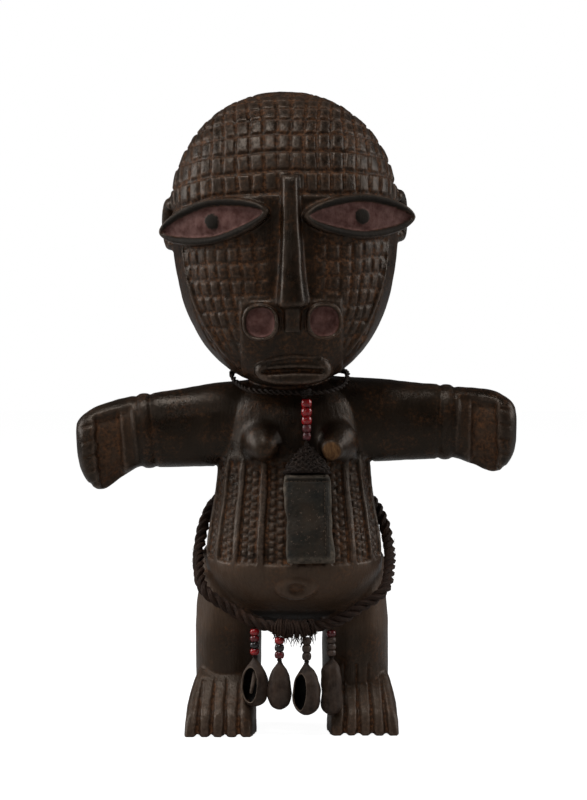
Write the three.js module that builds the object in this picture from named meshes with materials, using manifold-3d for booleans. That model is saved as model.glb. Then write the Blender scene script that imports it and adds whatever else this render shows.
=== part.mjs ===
// A carved wooden female doll that stands with both arms held out. The wood is one piece: head, body, arms,
// legs and feet. She wears a rope round the hips with four shell rattles on beaded strings, and a cord round
// the neck with a leather amulet on a beaded string.
// Millimetres, +Z up. She faces -Y, and the origin is on the floor below the middle of her box.

import * as THREE from "three";
import { mergeVertices } from "three/addons/utils/BufferGeometryUtils.js";
import Module from "manifold-3d";

const wasm = await Module();
wasm.setup();

// Heights of the body
const LEG_HEIGHT = 48; // floor to the underside of the belly
const TORSO_HEIGHT = 107; // underside of the belly to the tops of the shoulders
const HEAD_HEIGHT = 129; // chin to crown
const CHIN_OVERLAP = 3; // how far the chin hangs below the shoulders

// Head
const HEAD_WIDTH = 100;
const HEAD_DEPTH = 86;
const HEAD_LEAN = 16; // how much further back the crown is than the chin
const HEAD_TILT = 1; // degrees, crown towards her right hand
const HEAD_X = -3.6; // how far the chin sits towards her right hand
const BROW_SLOPE = 0.02; // rise of the brow, eyes and cap rows towards her left hand, per millimetre
const FACE_OFFSET = 2.6; // nose, discs and mouth sit this far off the middle of the head
const EYE_LENGTH = 53;
const EYE_HEIGHT = 18.6;
const EYE_YAW = 28; // degrees that each eye turns outwards
const EYE_STAND = 3.2; // height of the eye rim over the face
const PUPIL_RADIUS = 3.2;
const PUPIL_STAND = 0.6;
const NOSE_TOP_WIDTH = 7;
const NOSE_TIP_WIDTH = 12;
const NOSE_STAND = 8.5;
const DISC_RADIUS = 8;
const DISC_STAND = 2.4;
const MOUTH_WIDTH = 32;
const MOUTH_HEIGHT = 12.5;
const MOUTH_STAND = 4;
const EAR_RADIUS = 8.2;
const EAR_THICKNESS = 5.4;
const JAW_RIM_THICKNESS = 2.8;
const NECK_WIDTH = 34;

// Squares carved all over the cap
const CAP_ROWS = 6;
const CAP_SQUARE = 6.3; // width of one square with its groove
const CAP_GROOVE = 1.5;
const CAP_RISE = 1;

// Torso
const TORSO_WIDTH = 75.6;
const TORSO_DEPTH = 58;
const HIP_WIDTH = 84;
const HIP_DEPTH = 47;
const RIB_WIDTH = 3.4; // raised vertical bars on the torso
const RIB_RISE = 1.5;
const RIB_COUNT = 18; // all round
const BREAST_RADIUS = 9.6;
const BREAST_LENGTH = 11;
const NAVEL_RADIUS = 7;

// Arms
const ARM_SPAN = 195.8; // from finger tips to finger tips
const ARM_HEIGHT = 38; // thickness up and down at the shoulder
const ARM_DEPTH = 30;
const WRIST_RING_LENGTH = 6.6;
const HAND_LENGTH = 28;
const PALM_HOLLOW = 4.5;
const FINGER_GROOVE = 1.1;

// Legs and feet
const LEG_SPACING = 56.4;
const LEG_WIDTH = 29;
const LEG_DEPTH = 36;
const STANCE_OFFSET = -1.8; // the legs stand this far off the middle of the box
const FOOT_LENGTH = 54;
const FOOT_WIDTH = 30;
const FOOT_TURNOUT = 4; // how much further out a foot is than its leg
const ANKLE_HEIGHT = 27;
const TOE_HEIGHT = 9.5;
const TOE_GROOVE = 2.4;
const FOOT_STAGGER = 5; // her left foot stands this much further back

// Rope, strings, beads, rattles and amulet
const CLEARANCE = 0.35; // gap between pieces that touch in the real thing
const ROPE_DIAMETER = 5.2;
const BINDING_DIAMETER = 6.8;
const NECK_CORD_DIAMETER = 2.4;
const STRING_DIAMETER = 1;
const BEAD_DIAMETER = 4.7;
const BEAD_HEIGHT = 3.5;
const SHELL_WIDTH = 11.6;
const SHELL_HEIGHT = 21.5;
const SHELL_WALL = 1.1;
const AMULET_WIDTH = 20.5;
const AMULET_HEIGHT = 39;
const AMULET_THICKNESS = 6.5;
const AMULET_CAP_HEIGHT = 13;
const AMULET_DROP = 28; // from the shoulders down to the top of its cap
const AMULET_CAP_STAND = 4.5; // how far the top of the cap stands off the chest
const AMULET_PACKET_STAND = 1.55; // and the foot of the packet off the belly

// Levels that follow from the heights
const SHOULDER_Z = LEG_HEIGHT + TORSO_HEIGHT;
const CHIN_Z = SHOULDER_Z - CHIN_OVERLAP;

const radians = THREE.MathUtils.degToRad;
const vector = (x, y, z) => new THREE.Vector3(x, y, z);

// A closed solid from any three.js geometry
function solidOf(geometry) {
  const bare = geometry.clone();
  for (const name of ["normal", "uv"]) bare.deleteAttribute(name);
  const merged = mergeVertices(bare, 1e-4);
  return new wasm.Manifold(
    new wasm.Mesh({
      numProp: 3,
      vertProperties: new Float32Array(merged.attributes.position.array),
      triVerts: new Uint32Array(merged.index.array),
    }),
  );
}

// A three.js geometry from a solid
function geometryOf(solid) {
  const mesh = solid.getMesh();
  const geometry = new THREE.BufferGeometry();
  geometry.setAttribute("position", new THREE.BufferAttribute(mesh.vertProperties, 3));
  geometry.setIndex(new THREE.BufferAttribute(mesh.triVerts, 1));
  geometry.computeVertexNormals();
  return geometry;
}

const joined = (solids) => solids.reduce((whole, next) => whole.add(next));

// The same solid, moved by a three.js matrix
function placed(solid, matrix) {
  return solidOf(geometryOf(solid).applyMatrix4(matrix));
}

// A closed skin over rings of points, all with as many points, each end closed on its own middle
function loft(rings) {
  const count = rings[0].length;
  const points = rings.flat();
  const faces = [];
  for (let r = 0; r + 1 < rings.length; r++)
    for (let i = 0; i < count; i++) {
      const a = r * count + i;
      const b = r * count + ((i + 1) % count);
      faces.push(a, b, a + count, b, b + count, a + count);
    }
  for (const [ring, first, turn] of [
    [rings[0], 0, 1],
    [rings[rings.length - 1], (rings.length - 1) * count, 0],
  ]) {
    const middle = ring.reduce((sum, p) => sum.add(p), vector(0, 0, 0)).divideScalar(count);
    const hub = points.push(middle) - 1;
    for (let i = 0; i < count; i++) {
      const edge = [first + i, first + ((i + 1) % count)];
      faces.push(hub, edge[turn], edge[1 - turn]);
    }
  }
  let volume = 0;
  for (let i = 0; i < faces.length; i += 3) {
    const [a, b, c] = faces.slice(i, i + 3).map((k) => points[k]);
    volume += a.dot(b.clone().cross(c));
  }
  if (volume < 0) for (let i = 0; i < faces.length; i += 3) faces.splice(i, 2, faces[i + 1], faces[i]);
  return solidOf(new THREE.BufferGeometry().setFromPoints(points).setIndex(faces));
}

// A smooth value between the rows of a table, each row being [place, value, value...]
function smooth(table, at) {
  const last = table.length - 1;
  const k = Math.max(0, Math.min(last - 1, table.findIndex((row) => row[0] > at) - 1));
  const i = at >= table[last][0] ? last - 1 : k;
  const slope = (n, c) => {
    const [a, b] = [table[Math.max(0, n - 1)], table[Math.min(last, n + 1)]];
    return (b[c] - a[c]) / (b[0] - a[0]);
  };
  const [low, high] = [table[i], table[i + 1]];
  const span = high[0] - low[0];
  const t = THREE.MathUtils.clamp((at - low[0]) / span, 0, 1);
  return low.slice(1).map((value, n) => {
    const [m0, m1] = [slope(i, n + 1) * span, slope(i + 1, n + 1) * span];
    const rise = high[n + 1] - value;
    return value + t * m0 + t * t * (3 * rise - 2 * m0 - m1) + t * t * t * (m0 + m1 - 2 * rise);
  });
}

const power = (value, exponent) => Math.sign(value) * Math.abs(value) ** exponent;

// Points round a rounded box, in its own plane: half width across, and its reach to the front and back
function roundedBox(count, halfWidth, front, back, squareness) {
  return Array.from({ length: count }, (_, i) => {
    const angle = (2 * Math.PI * i) / count;
    const across = halfWidth * power(Math.cos(angle), 2 / squareness);
    const along = power(Math.sin(angle), 2 / squareness);
    return [across, along * (along < 0 ? front : back)];
  });
}

// The head's egg shape, with its chin at the origin of its own frame. The widest level is the eye line.
const WIDEST = 0.56; // share of the head's height
const OUTLINE_SQUARENESS = 2.15;
const JAW_SQUARENESS = 2.22;
const FACE_SQUARENESS = 3.2; // the face stays flat down to the chin
const NAPE_SQUARENESS = 1.4; // and the back of the jaw is cut away over the neck
const HEAD_SQUARENESS = 2.4;

function headSection(z) {
  const share = THREE.MathUtils.clamp(z / HEAD_HEIGHT, 0.001, 0.999);
  const jaw = share < WIDEST;
  const s = jaw ? (WIDEST - share) / WIDEST : (share - WIDEST) / (1 - WIDEST);
  const narrowed = (squareness) => (1 - s ** squareness) ** (1 / squareness);
  return {
    halfWidth: (HEAD_WIDTH / 2) * narrowed(jaw ? JAW_SQUARENESS : OUTLINE_SQUARENESS),
    front: (HEAD_DEPTH / 2) * narrowed(jaw ? FACE_SQUARENESS : OUTLINE_SQUARENESS),
    back: (HEAD_DEPTH / 2) * narrowed(jaw ? NAPE_SQUARENESS : OUTLINE_SQUARENESS),
    middleY: HEAD_LEAN * (share - 0.5),
  };
}

// A point on the head's skin: angle 0 is straight ahead, and positive angles go towards +X
function onHead(angle, z, out = 0) {
  const { halfWidth, front, back, middleY } = headSection(z);
  const across = power(Math.sin(angle), 2 / HEAD_SQUARENESS);
  const ahead = power(Math.cos(angle), 2 / HEAD_SQUARENESS);
  const point = vector(halfWidth * across, middleY - (ahead > 0 ? front : back) * ahead, z);
  const level = (z / HEAD_HEIGHT - WIDEST) * 2;
  const away = vector(point.x, point.y - middleY, (level * HEAD_HEIGHT) / 3).normalize();
  return point.addScaledVector(away, out);
}

const faceY = (x, z) => {
  const { halfWidth, front, middleY } = headSection(z);
  const across = Math.min(1, Math.abs(x) / halfWidth) ** HEAD_SQUARENESS;
  return middleY - front * (1 - across) ** (1 / HEAD_SQUARENESS);
};

const HEAD_SIDES = 24;
const HEAD_RINGS = 9;

// The skull's skin ends inside the cap
function skull() {
  const rings = [];
  for (let r = 0; r <= HEAD_RINGS; r++) {
    const angle = radians(-86 + ((86 + CAP_START + 2 * CAP_ROW_STEP) * r) / HEAD_RINGS);
    const reach = angle < 0 ? WIDEST : 1 - WIDEST;
    const z = HEAD_HEIGHT * (WIDEST + reach * power(Math.sin(angle), 2 / OUTLINE_SQUARENESS));
    rings.push(Array.from({ length: HEAD_SIDES }, (_, i) => onHead((2 * Math.PI * i) / HEAD_SIDES, z)));
  }
  return loft(rings);
}

// The cap is carved in raised squares. Its columns run straight up the front and spread out at the back,
// and its rows are level rings that hang lower at the back.
const CAP_START = 5; // degrees up the dome from the eye line
const CAP_ROW_STEP = 9.7;
const CAP_BOW = 9; // degrees that the rows lean back
const CAP_FLOOR = 0.3; // height of the grooves over the skull
const CAP_CROWN = 80; // degrees up the dome where the crown is flat
const CAP_COLUMNS = 2 * Math.round(HEAD_WIDTH / CAP_SQUARE / 1.4);
const CAP_SLANT = 0.8; // share of a row over which its squares rise from the groove below them

const domeZ = (degrees) =>
  HEAD_HEIGHT * (WIDEST + (1 - WIDEST) * power(Math.sin(radians(degrees)), 2 / OUTLINE_SQUARENESS));

function columnAngle(column, girthRadius) {
  const half = CAP_COLUMNS / 2;
  const step = Math.min(CAP_SQUARE / girthRadius, (1.3 * Math.PI) / half);
  return step * column + (Math.PI - step * half) * (column / half) ** 3;
}

function capRing(degrees, out) {
  const level = domeZ(degrees);
  const { halfWidth, front } = headSection(level);
  const edge = CAP_GROOVE / CAP_SQUARE / 2;
  const ring = [];
  for (let k = -CAP_COLUMNS / 2; k < CAP_COLUMNS / 2; k++)
    for (const [place, raised] of [
      [k, CAP_FLOOR],
      [k + edge, out],
      [k + 1 - edge, out],
    ]) {
      const angle = columnAngle(place, (halfWidth + front) / 2);
      const rise = front * Math.tan(radians(CAP_BOW)) * Math.cos(angle);
      const slope = BROW_SLOPE * halfWidth * Math.sin(angle);
      ring.push(onHead(angle, level + rise + slope, Math.min(raised, out)));
    }
  return ring;
}

function cap() {
  const top = CAP_RISE + CAP_FLOOR;
  const rings = [];
  for (let row = 0; row <= CAP_ROWS; row++) {
    rings.push(capRing(CAP_START + row * CAP_ROW_STEP, CAP_FLOOR));
    rings.push(capRing(CAP_START + (row + CAP_SLANT) * CAP_ROW_STEP, row < CAP_ROWS ? top : CAP_FLOOR));
  }
  rings.push(capRing(CAP_CROWN, CAP_FLOOR));
  return loft(rings);
}

// A carved plate with a raised rim and a sunk floor, in its own plane, standing out along -Y.
// Each step is [scale of the outline, height over the face].
function rimmedPlate(outline, steps, bend) {
  return loft(
    steps.map(([scale, out]) =>
      outline.map(([x, z]) => vector(x * scale, bend * (x * scale) ** 2 - out, z * scale)),
    ),
  );
}

const PLATE_ROOT = -12; // how deep a plate runs into the head
const rimSteps = (stand) => [
  [0.7, PLATE_ROOT],
  [0.98, -0.4 * stand],
  [1, 0.62 * stand],
  [0.9, stand],
  [0.79, 0.3 * stand],
  [0.4, 0.45 * stand],
];

const EYE_POINTS = 16;
const EYE_SHARPNESS = 1.75; // 2 is an ellipse, and less is more pointed
const EYE_BEND = 0.004;
const EYE_LEVEL = 0.585; // share of the head's height
const EYE_TILTS = { right: -9, left: 1 }; // degrees, the outer end of her right eye hangs low

function eye(side) {
  const half = EYE_LENGTH / 2;
  const outline = roundedBox(EYE_POINTS, half, EYE_HEIGHT / 2, EYE_HEIGHT / 2, EYE_SHARPNESS);
  const plate = rimmedPlate(outline, rimSteps(EYE_STAND), EYE_BEND);
  const pupil = new THREE.CylinderGeometry(PUPIL_RADIUS, PUPIL_RADIUS * 1.1, EYE_STAND, 8);
  pupil.rotateX(Math.PI / 2);
  pupil.translate(side < 0 ? 1 : -0.5, EYE_STAND * 0.05 - PUPIL_STAND, 0);
  const x = side * HEAD_WIDTH * 0.317;
  const z = HEAD_HEIGHT * EYE_LEVEL + BROW_SLOPE * x;
  const place = new THREE.Matrix4()
    .makeTranslation(x, faceY(x, z), z)
    .multiply(new THREE.Matrix4().makeRotationZ(radians(side * EYE_YAW)))
    .multiply(new THREE.Matrix4().makeRotationY(radians(side < 0 ? EYE_TILTS.right : EYE_TILTS.left)));
  return placed(plate.add(solidOf(pupil)), place);
}

// The nose is a long straight ridge that widens to its tip, with a short column below it
const NOSE_LEVELS = { top: 0.715, tip: 0.285, root: 0.19 }; // shares of the head's height

function nose() {
  const rings = [];
  const station = (share, width, out) => {
    const z = share * HEAD_HEIGHT;
    const y = faceY(FACE_OFFSET, z);
    const back = PLATE_ROOT + 4;
    const half = width / 2;
    const outline = [
      [-half * 1.2, back],
      [-half * 1.15, out * 0.3],
      [-half * 0.75, out * 0.92],
      [-half * 0.25, out],
      [half * 0.25, out],
      [half * 0.75, out * 0.92],
      [half * 1.15, out * 0.3],
      [half * 1.2, back],
    ];
    return outline.map(([x, o]) => vector(FACE_OFFSET + x, y - o, z));
  };
  const { top, tip, root } = NOSE_LEVELS;
  rings.push(station(top, NOSE_TOP_WIDTH, NOSE_STAND * 0.55));
  rings.push(station(top - 0.02, NOSE_TOP_WIDTH, NOSE_STAND * 0.72));
  for (let k = 1; k <= 4; k++) {
    const along = k / 4;
    const width = NOSE_TOP_WIDTH + (NOSE_TIP_WIDTH - NOSE_TOP_WIDTH) * along ** 2.2;
    rings.push(station(top - 0.02 + (tip - top + 0.02) * along, width, NOSE_STAND * (0.72 + 0.28 * along)));
  }
  rings.push(station(tip - 0.015, NOSE_TOP_WIDTH, NOSE_STAND * 0.5));
  rings.push(station(root, NOSE_TOP_WIDTH * 0.9, NOSE_STAND * 0.3));
  return loft(rings);
}

const DISC_LEVEL = 0.225;
const DISC_SPREAD = 13.4;

function cheekDisc(side) {
  const outline = roundedBox(12, DISC_RADIUS, DISC_RADIUS, DISC_RADIUS, 2.4);
  const plate = rimmedPlate(outline, rimSteps(DISC_STAND), 0);
  const x = FACE_OFFSET + side * DISC_SPREAD;
  const z = DISC_LEVEL * HEAD_HEIGHT;
  const turn = new THREE.Matrix4().makeRotationZ(radians(side * 13));
  return placed(plate, new THREE.Matrix4().makeTranslation(x, faceY(x, z), z).multiply(turn));
}

const MOUTH_LEVEL = 0.065;

function mouth() {
  const outline = roundedBox(14, MOUTH_WIDTH / 2, MOUTH_HEIGHT / 2, MOUTH_HEIGHT / 2, 2.3);
  const lips = rimmedPlate(
    outline,
    [
      [0.75, PLATE_ROOT],
      [0.97, -0.2 * MOUTH_STAND],
      [1, 0.6 * MOUTH_STAND],
      [0.82, MOUTH_STAND],
      [0.5, 0.85 * MOUTH_STAND],
    ],
    0.008,
  );
  const slit = new THREE.CylinderGeometry(MOUTH_WIDTH * 0.38, MOUTH_WIDTH * 0.38, MOUTH_STAND, 8);
  slit.rotateX(Math.PI / 2);
  slit.scale(1, 1, 0.09);
  slit.translate(0, -MOUTH_STAND * 0.95, 0.4);
  const z = MOUTH_LEVEL * HEAD_HEIGHT;
  const tip = new THREE.Matrix4().makeRotationX(radians(-8));
  const place = new THREE.Matrix4().makeTranslation(FACE_OFFSET, faceY(FACE_OFFSET, z), z).multiply(tip);
  return placed(lips.subtract(solidOf(slit)), place);
}

// A round bar bent along points, tapering at both ends
function bar(points, radius, sides, steps, endShare) {
  const curve = new THREE.CatmullRomCurve3(points);
  const frames = curve.computeFrenetFrames(steps, false);
  const rings = [];
  for (let s = 0; s <= steps; s++) {
    const middle = curve.getPointAt(s / steps);
    const thin = endShare + (1 - endShare) * Math.sin((Math.PI * s) / steps) ** 0.5;
    rings.push(
      Array.from({ length: sides }, (_, i) => {
        const angle = (2 * Math.PI * i) / sides;
        return middle
          .clone()
          .addScaledVector(frames.normals[s], Math.cos(angle) * radius * thin)
          .addScaledVector(frames.binormals[s], Math.sin(angle) * radius * thin);
      }),
    );
  }
  return loft(rings);
}

const EAR_LEVEL = 0.57;

function ear(side) {
  const points = [];
  for (let k = 0; k <= 6; k++) {
    const angle = radians(-125 + (250 * k) / 6);
    const backwards = Math.cos(angle) * EAR_RADIUS;
    const flare = 0.5 + 0.25 * (backwards / EAR_RADIUS);
    const x = side * (HEAD_WIDTH / 2 + EAR_THICKNESS * (flare - 0.35));
    const z = EAR_LEVEL * HEAD_HEIGHT + BROW_SLOPE * x + Math.sin(angle) * EAR_RADIUS * 1.15;
    points.push(vector(x, 2 + backwards, z));
  }
  return bar(points, EAR_THICKNESS / 2, 5, 6, 0.6);
}

function jawRim(side) {
  const points = [];
  for (let k = 0; k <= 6; k++) {
    const share = 0.52 - (0.45 * k) / 6;
    points.push(onHead(radians(side * (62 - 16 * (k / 6) ** 2)), share * HEAD_HEIGHT, -0.3));
  }
  return bar(points, JAW_RIM_THICKNESS / 2, 4, 6, 0.7);
}

function head() {
  const parts = [skull(), cap(), nose(), mouth()];
  for (const side of [-1, 1]) parts.push(eye(side), cheekDisc(side), ear(side), jawRim(side));
  const place = new THREE.Matrix4()
    .makeTranslation(HEAD_X, 0, CHIN_Z)
    .multiply(new THREE.Matrix4().makeRotationY(radians(-HEAD_TILT)));
  return placed(joined(parts), place);
}

function neck() {
  const half = NECK_WIDTH / 2;
  const rings = [SHOULDER_Z - 14, SHOULDER_Z + 2, CHIN_Z + 30].map((z, i) =>
    roundedBox(14, half * [1.25, 0.98, 1.1][i], half, half, 2).map(([x, y]) =>
      vector(HEAD_X * 0.7 + x, 5 + y, z),
    ),
  );
  return loft(rings);
}

// The torso, from the rounded underside of the belly to the shoulders.
// Share of the torso's height, then half width, reach to the front and reach to the back as shares of
// half the torso's width and depth.
const TORSO_PROFILE = [
  [0.0, 0.12, 0.1, 0.08],
  [0.03, 0.56, 0.64, 0.3],
  [0.08, 0.8, 0.92, 0.6],
  [0.15, 0.94, 1.13, 0.72],
  [0.23, 1.0, 1.27, 0.76],
  [0.33, 0.99, 1.24, 0.74],
  [0.44, 0.945, 1.08, 0.7],
  [0.55, 0.895, 0.94, 0.7],
  [0.64, 0.87, 0.87, 0.76],
  [0.78, 0.86, 0.82, 0.84],
  [0.9, 0.8, 0.72, 0.8],
  [0.97, 0.62, 0.5, 0.62],
  [1.0, 0.4, 0.28, 0.4],
];
const TORSO_SQUARENESS = 2.25;
const TORSO_SIDES = 24;
const TORSO_X = -0.8;

function torsoPoint(angle, z, out = 0) {
  const [width, front, back] = smooth(TORSO_PROFILE, (z - LEG_HEIGHT) / TORSO_HEIGHT);
  const across = power(Math.sin(angle), 2 / TORSO_SQUARENESS);
  const ahead = power(Math.cos(angle), 2 / TORSO_SQUARENESS);
  const reach = (ahead > 0 ? front : back) * (TORSO_DEPTH / 2);
  const point = vector((width * across * TORSO_WIDTH) / 2, -ahead * reach, z);
  return point.add(point.clone().setZ(0).normalize().multiplyScalar(out)).add(vector(TORSO_X, 0, 0));
}

function torso() {
  const rings = TORSO_PROFILE.map(([share]) => {
    const z = LEG_HEIGHT + share * TORSO_HEIGHT;
    return Array.from({ length: TORSO_SIDES }, (_, i) => torsoPoint((2 * Math.PI * i) / TORSO_SIDES, z));
  });
  return loft(rings);
}

// Raised vertical bars round the torso, between the belly and the arms
const RIB_LOW = 0.25; // shares of the torso's height
const RIB_HIGH = 0.64;

function ribs() {
  const bars = [];
  for (let k = 0; k < RIB_COUNT; k++) bars.push(rib((2 * Math.PI * k) / RIB_COUNT));
  return joined(bars);
}

function rib(middle) {
  const half = RIB_WIDTH / TORSO_WIDTH;
  const levels = [RIB_LOW, 0.44, RIB_HIGH].map((share) => LEG_HEIGHT + share * TORSO_HEIGHT);
  return loft(
    levels.map((z, i) => {
      const rise = i === 0 || i === levels.length - 1 ? RIB_RISE * 0.6 : RIB_RISE;
      return [
        torsoPoint(middle - half * 1.3, z, -1.5),
        torsoPoint(middle - half * 0.8, z, rise),
        torsoPoint(middle + half * 0.8, z, rise),
        torsoPoint(middle + half * 1.3, z, -1.5),
      ];
    }),
  );
}

const HIP_Y = 6;

function hips() {
  const shape = new THREE.SphereGeometry(1, 16, 8);
  shape.rotateX(Math.PI / 2);
  shape.scale(HIP_WIDTH / 2, HIP_DEPTH / 2, TORSO_HEIGHT * 0.27);
  shape.translate(STANCE_OFFSET, HIP_Y, LEG_HEIGHT + TORSO_HEIGHT * 0.15);
  return solidOf(shape);
}

// Breasts are short cones. The one on her left ends in a flat break.
function breast(side) {
  const broken = side > 0;
  const profile = [
    [0, -6],
    [BREAST_RADIUS * 1.2, -6],
    [BREAST_RADIUS * 0.82, BREAST_LENGTH * 0.35],
    [BREAST_RADIUS * 0.52, BREAST_LENGTH * 0.62],
    [BREAST_RADIUS * 0.45, BREAST_LENGTH * (broken ? 1 : 0.85)],
    [0, BREAST_LENGTH * (broken ? 1 : 0.95)],
  ];
  const shape = new THREE.LatheGeometry(
    profile.map(([radius, out]) => new THREE.Vector2(radius, out)),
    16,
  );
  const x = side * 15.5 + 1.6;
  const z = SHOULDER_Z - TORSO_HEIGHT * 0.265;
  shape.rotateX(Math.PI + radians(20));
  shape.rotateZ(radians(broken ? -8 : 2));
  shape.translate(x, -TORSO_DEPTH * 0.37, z);
  return solidOf(shape);
}

function navel() {
  const outline = roundedBox(10, NAVEL_RADIUS * 1.15, NAVEL_RADIUS * 0.8, NAVEL_RADIUS * 0.8, 2);
  const steps = [
    [0.8, -8],
    [1, 0],
    [0.8, 1.6],
    [0.5, 2.6],
    [0.22, 1.2],
  ];
  const z = LEG_HEIGHT + TORSO_HEIGHT * 0.165;
  const lean = new THREE.Matrix4().makeRotationX(radians(22));
  const front = torsoPoint(0, z);
  return placed(
    rimmedPlate(outline, steps, 0),
    new THREE.Matrix4().makeTranslation(front.x + 1, front.y + 0.4, z).multiply(lean),
  );
}

// Arms run straight out to a ring at the wrist and a cupped hand.
// Distance from the middle, as a share of the length to the wrist, then half height and half depth as
// shares of the arm's at the shoulder.
const ARM_PROFILE = [
  [0.05, 0.98, 1.0],
  [0.3, 1.0, 1.0],
  [0.6, 0.96, 0.94],
  [0.85, 0.9, 0.86],
  [0.985, 0.875, 0.82],
];
const ARM_SIDES = 12;
const ARMS = {
  right_hand: { side: -1, droop: 5, fingerDrop: 6, reach: 18.5 },
  left_hand: { side: 1, droop: 1.5, fingerDrop: 3.8, reach: 18 },
};

function arm({ side, droop, fingerDrop, reach }) {
  const wrist = ARM_SPAN / 2 - HAND_LENGTH - WRIST_RING_LENGTH;
  const section = (x, halfHeight, halfDepth, drop = 0, y = 0) =>
    roundedBox(ARM_SIDES, halfDepth, halfHeight, halfHeight, 2.4).map(([across, up]) =>
      vector(side * x, y - across, up - drop),
    );
  const [h, d] = [ARM_HEIGHT / 2, ARM_DEPTH / 2];
  const rings = ARM_PROFILE.map(([share, high, deep]) => section(share * wrist, h * high, d * deep));
  const ringEnd = wrist + WRIST_RING_LENGTH;
  rings.push(section(wrist + 0.4, h * 0.82, d * 0.76));
  rings.push(section(wrist + 1.3, h * 0.875, d * 0.82));
  rings.push(section(ringEnd - 1.5, h * 0.875, d * 0.82));
  rings.push(section(ringEnd - 0.4, h * 0.81, d * 0.76));
  const along = (share) => ringEnd + share * HAND_LENGTH;
  rings.push(section(along(0.06), h * 0.84, d * 0.8));
  rings.push(section(along(0.35), (h * 0.84 + reach) / 2, d * 0.72, fingerDrop * 0.4, -0.5));
  rings.push(section(along(0.66), reach, d * 0.7, fingerDrop * 0.95, -2));
  rings.push(section(along(0.86), reach * 0.82, d * 0.62, fingerDrop * 0.9, -3.4));
  rings.push(section(along(1), reach * 0.42, d * 0.3, fingerDrop * 0.5, -3.6));
  let shape = loft(rings);
  // Palm: a square hollow in front, with grooves between the fingers at its outer end
  const floor = -d * 0.62 + PALM_HOLLOW;
  const hollow = (x0, x1, half, y) =>
    [
      [x0, -half],
      [x1, -half * 1.08],
      [x1, half * 0.92],
      [x0, half],
    ].map(([x, up]) => vector(side * x, y, up - fingerDrop * (0.2 + (0.6 * (x - ringEnd)) / HAND_LENGTH)));
  shape = shape.subtract(
    loft([
      hollow(along(0.2), along(0.68), h * 0.8, -d - 4),
      hollow(along(0.24), along(0.66), h * 0.74, floor),
    ]),
  );
  for (let k = -1; k <= 1; k++) {
    const cut = new THREE.CylinderGeometry(FINGER_GROOVE, FINGER_GROOVE, HAND_LENGTH * 0.34, 4);
    cut.rotateZ(Math.PI / 2);
    cut.translate(side * along(0.72), -d * 0.76 - 1.6, k * reach * 0.42 - fingerDrop * 0.9);
    shape = shape.subtract(solidOf(cut));
  }
  const place = new THREE.Matrix4()
    .makeTranslation(0, 0.5, SHOULDER_Z - ARM_HEIGHT / 2 + 1.5)
    .multiply(new THREE.Matrix4().makeRotationY(radians(side * droop)));
  return placed(shape, place);
}

// Legs are plain round columns
const LEG_PROFILE = [
  [0.25, 0.96, 0.9],
  [0.55, 1.0, 0.98],
  [1.0, 1.0, 1.05],
  [1.45, 0.85, 0.95],
];

function leg(side) {
  const x = STANCE_OFFSET + (side * LEG_SPACING) / 2;
  return loft(
    LEG_PROFILE.map(([share, wide, deep]) =>
      roundedBox(16, (LEG_WIDTH / 2) * wide, (LEG_DEPTH / 2) * deep, (LEG_DEPTH / 2) * deep, 2.3).map(
        ([across, y]) => vector(x + across, y - 1, share * LEG_HEIGHT),
      ),
    ),
  );
}

// Feet are wedges on a flat sole, with long toes parted by grooves.
// Distance back from the toe tips as a share of the foot's length, then width, height and the depth of the
// toe grooves as shares of half the foot's width, of the ankle's height and of the full groove.
const FOOT_PROFILE = [
  [0.0, 0.9, 0.2, 0.8],
  [0.03, 0.98, 0.33, 1],
  [0.13, 1.0, 0.42, 1],
  [0.24, 0.98, 0.66, 1],
  [0.36, 0.94, 0.95, 0.9],
  [0.46, 0.9, 1.06, 0],
  [0.85, 0.8, 1.06, 0],
  [1.0, 0.62, 0.7, 0],
];
const FOOT_FRONT = 37; // how far the toe tips are ahead of the body's middle
const TOES = 5;

function foot(side) {
  const x = STANCE_OFFSET + side * (LEG_SPACING / 2 + FOOT_TURNOUT);
  const half = FOOT_WIDTH / 2;
  const rings = FOOT_PROFILE.map(([share, wide, high, cut]) => {
    const height = Math.max(TOE_HEIGHT * 0.6, high * ANKLE_HEIGHT);
    const middle = x - side * FOOT_TURNOUT * share;
    const ring = [];
    const y = share * FOOT_LENGTH - FOOT_FRONT + (side > 0 ? FOOT_STAGGER : 0);
    for (let i = 0; i <= 2 * TOES; i++) {
      const u = i / TOES - 1;
      const groove = i % 2 === 0 && i > 0 && i < 2 * TOES;
      const up = height * (1 - Math.abs(u * 0.97) ** 3.5) ** 0.4 - (groove ? TOE_GROOVE * cut : 0);
      const back = groove && share === 0 ? TOE_GROOVE : 0;
      const reach = Math.max(-1, Math.min(1, u * 1.02));
      ring.push(vector(middle + reach * half * wide * (1 - (0.1 * up) / ANKLE_HEIGHT), y + back, up));
    }
    ring.push(vector(middle + half * wide, y, 0), vector(middle - half * wide, y, 0));
    return ring;
  });
  return loft(rings);
}

function figure() {
  const parts = [head(), neck(), torso(), ribs(), hips(), navel()];
  for (const side of [-1, 1]) parts.push(breast(side), leg(side), foot(side));
  for (const limb of Object.values(ARMS)) parts.push(arm(limb));
  return geometryOf(joined(parts));
}

// The front of the chest and belly at a height, with its carved bars
const bellyFront = (z) => torsoPoint(0, z, z < LEG_HEIGHT + RIB_HIGH * TORSO_HEIGHT ? RIB_RISE : 0).y;

// A round tube along a route, open at both ends of the route
function tube(points, diameter, sides, steps) {
  const outline = new THREE.Shape();
  outline.absarc(0, 0, diameter / 2, 0, 2 * Math.PI);
  return solidOf(
    new THREE.ExtrudeGeometry(outline, {
      steps,
      curveSegments: sides / 2,
      extrudePath: new THREE.CatmullRomCurve3(points),
    }),
  );
}

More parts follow.
